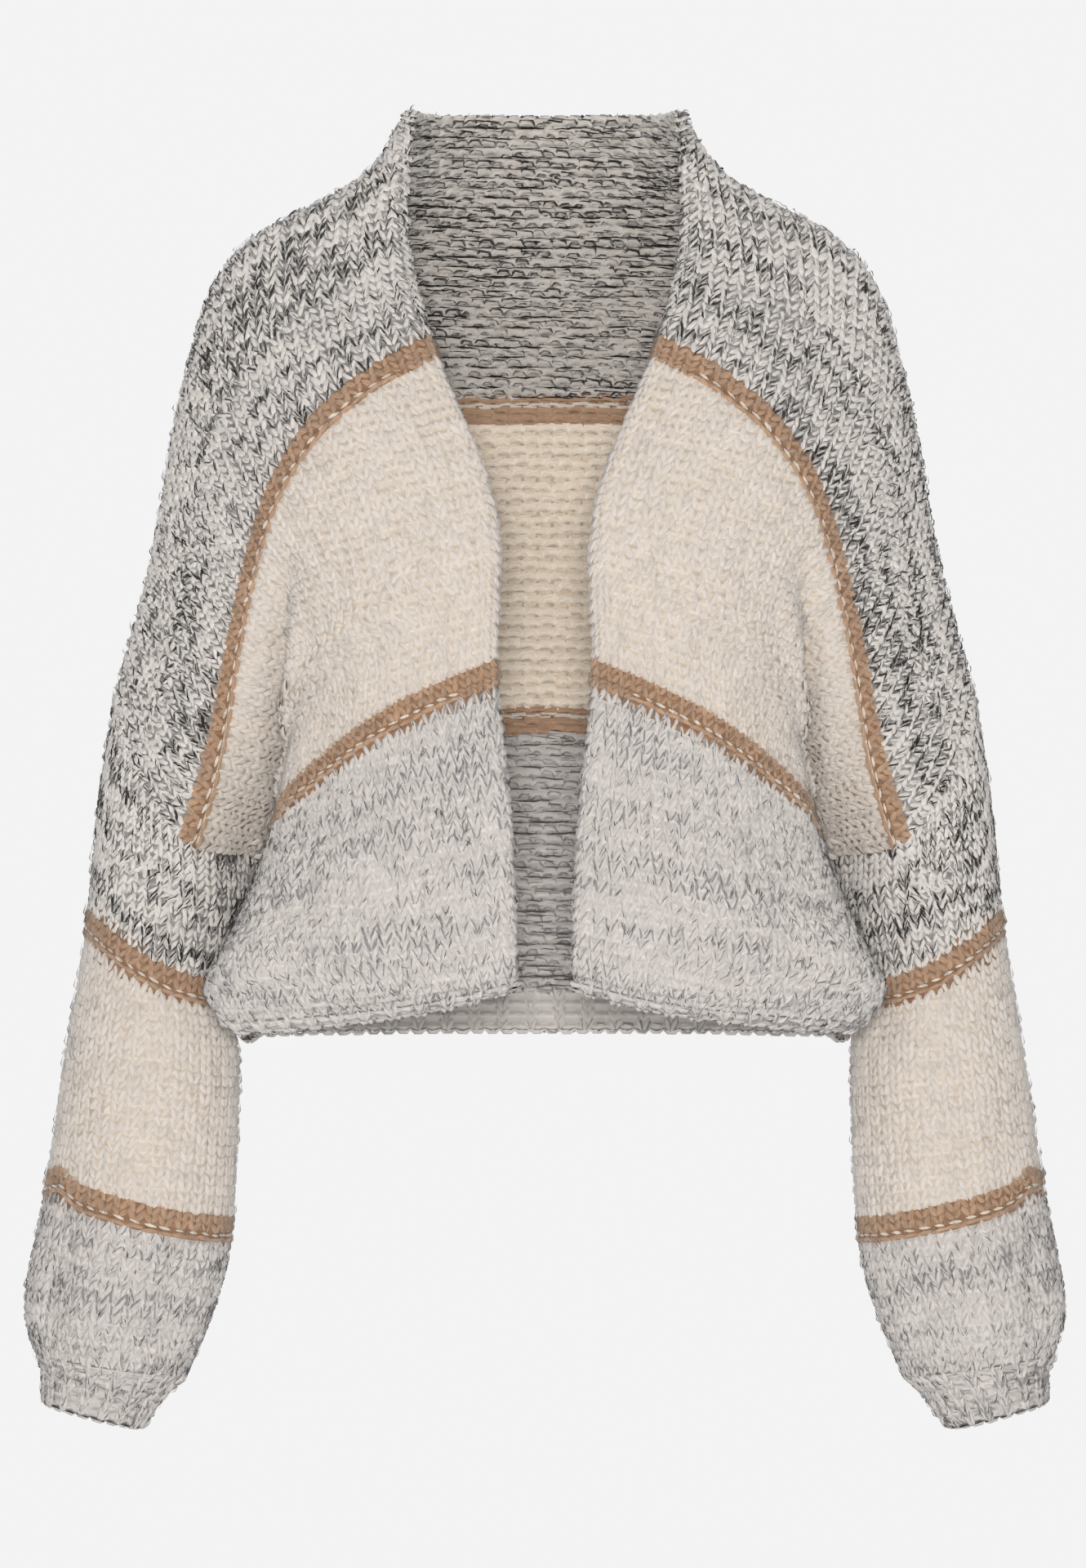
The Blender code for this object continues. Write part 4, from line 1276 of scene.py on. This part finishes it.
def build_garment():
    knitter = Knitter()
    front, back, back_half, underarm = body_cloths()
    sleeve = sleeve_cloth(front, back_half, underarm)
    front_stitches = Stitches(front, all_courses(front, False), wales=FRONT_WALES)
    front_stitches.keep_edge_plain()
    front_stitches.turn_edge()
    sleeve_stitches = Stitches(sleeve, all_courses(sleeve, False, kink_along(sleeve)), wales=SLEEVE_WALES)
    back_stitches = Stitches(back, all_courses(back, True), pitch=WALE)
    cuff = cuff_cloth(sleeve)
    front_band = band_cloth(front, BAND_TURN)
    back_band = band_cloth(back, 0.0)

    for side, mirrored in (("left", True), ("right", False)):
        panels = (("front", front, front_stitches), ("sleeve", sleeve, sleeve_stitches))
        for label, cloth, stitches in panels:
            ground, pieces = dress_panel(knitter, f"{label}_{side}", cloth, stitches, mirrored=mirrored)
            declare(cloth)
        dress_rib(knitter, f"cuff_{side}", cuff, mirrored)
        dress_rib(knitter, f"hem_band_{side}", front_band, mirrored)
    dress_rib(knitter, "hem_band_back", back_band, inner=True)

    ground, pieces = dress_panel(knitter, "back", back, back_stitches, knit_down=True)
    pieces += knitter.inside("back_inside", back_stitches)
    neck = np.where(back.grid[-1, :, 2] >= NECK_EDGE[-1][2] - NECK_PLAY)[0]
    away = unit(back.grid[-1, neck] - back.grid[-2, neck])
    line = back.grid[-1, neck] - back.out[-1, neck] * SET_IN - away * EDGE_LOWERED
    pieces.append(knitter.bound_edge("neck_edge", "dark_marl", line, away))
    declare(back)


# ---- camera, lights and floor ----
CAMERA_DISTANCE = 5.0
FRAME_HEIGHT = 0.893  # what the picture's height takes in at the garment, in metres
VIEW_CENTRE = (-0.001, 0.0, -0.342)
FLOOR_HEIGHT = -1.4
WALL_PLACE = 14.0  # how far behind the garment the backdrop rises
WALL_BEND = 0.35
FLOOR_REACH = 20.0
WALL_BEND_STEPS = 12
SENSOR_HEIGHT = 36.0
WORLD_LIGHT = 0.26
PAPER_GLOW = 0.896  # the brightness of the backdrop, whatever light falls on it
GARMENT_MIDDLE = (0.0, 0.0, -0.3)
LIGHTS = (
    # name, place, what it points at, size, power
    ("key", (-1.1, -3.6, 1.4), GARMENT_MIDDLE, 1.8, 24.0),
    ("fill", (1.6, -3.4, 0.6), GARMENT_MIDDLE, 2.0, 10.0),
    ("front", (0.0, -4.6, -0.1), (0.0, 0.1, -0.25), 0.8, 144.0),
    ("top", (0.0, 0.5, 2.2), GARMENT_MIDDLE, 1.5, 12.0),
    ("back", (0.6, 4.4, 0.5), GARMENT_MIDDLE, 2.0, 60.0),
)


def add_camera():
    camera = bpy.data.cameras.new("camera")
    camera.sensor_fit = "VERTICAL"
    camera.sensor_height = SENSOR_HEIGHT
    camera.lens = SENSOR_HEIGHT * CAMERA_DISTANCE / FRAME_HEIGHT
    camera.clip_end = 100.0
    holder = add_object("camera", camera)
    holder.location = (VIEW_CENTRE[0], -CAMERA_DISTANCE, VIEW_CENTRE[2])
    holder.rotation_euler = (math.radians(90.0), 0.0, 0.0)
    bpy.context.scene.camera = holder


def add_light(name, place, target, size, power):
    light = bpy.data.lights.new(name, "AREA")
    light.shape = "DISK"
    light.size = size
    light.energy = power
    holder = add_object(name, light)
    holder.location = place
    holder.rotation_euler = (Vector(target) - Vector(place)).to_track_quat("-Z", "Y").to_euler()


def add_lights():
    """Even, nearly shadowless light: a faint world, and discs of light all round."""
    world = bpy.data.worlds.new("studio")
    world.use_nodes = True
    set_inputs(world.node_tree.nodes["Background"], {"Color": linear("#ffffff"), "Strength": WORLD_LIGHT})
    bpy.context.scene.world = world
    for light in LIGHTS:
        add_light(*light)


def add_floor():
    """A floor that bends up into a backdrop, of paper that glows an even near white."""
    paper, tree = new_material("studio_paper")
    glow = {"Emission Color": linear("#ffffff"), "Emission Strength": PAPER_GLOW}
    dull = {"Base Color": linear("#000000"), "Roughness": 1.0, "Specular IOR Level": 0.0}
    set_inputs(tree.nodes["Principled BSDF"], {**dull, **glow})
    profile = [(-FLOOR_REACH, 0.0)]
    for step in range(WALL_BEND_STEPS + 1):
        angle = math.radians(90.0 * step / WALL_BEND_STEPS)
        profile.append((WALL_PLACE - WALL_BEND * (1 - math.sin(angle)), WALL_BEND * (1 - math.cos(angle))))
    profile.append((WALL_PLACE, FLOOR_REACH))
    verts = [(x, y, FLOOR_HEIGHT + z) for x in (-FLOOR_REACH, FLOOR_REACH) for y, z in profile]
    count = len(profile)
    faces = [(i, i + count, i + count + 1, i + 1) for i in range(count - 1)]
    mesh = new_mesh("studio_floor", verts, faces)
    mesh.materials.append(paper)
    mesh.shade_smooth()
    add_object("studio_floor", mesh)


bpy.context.scene.view_settings.view_transform = "Standard"
add_camera()
add_lights()
add_floor()
build_garment()
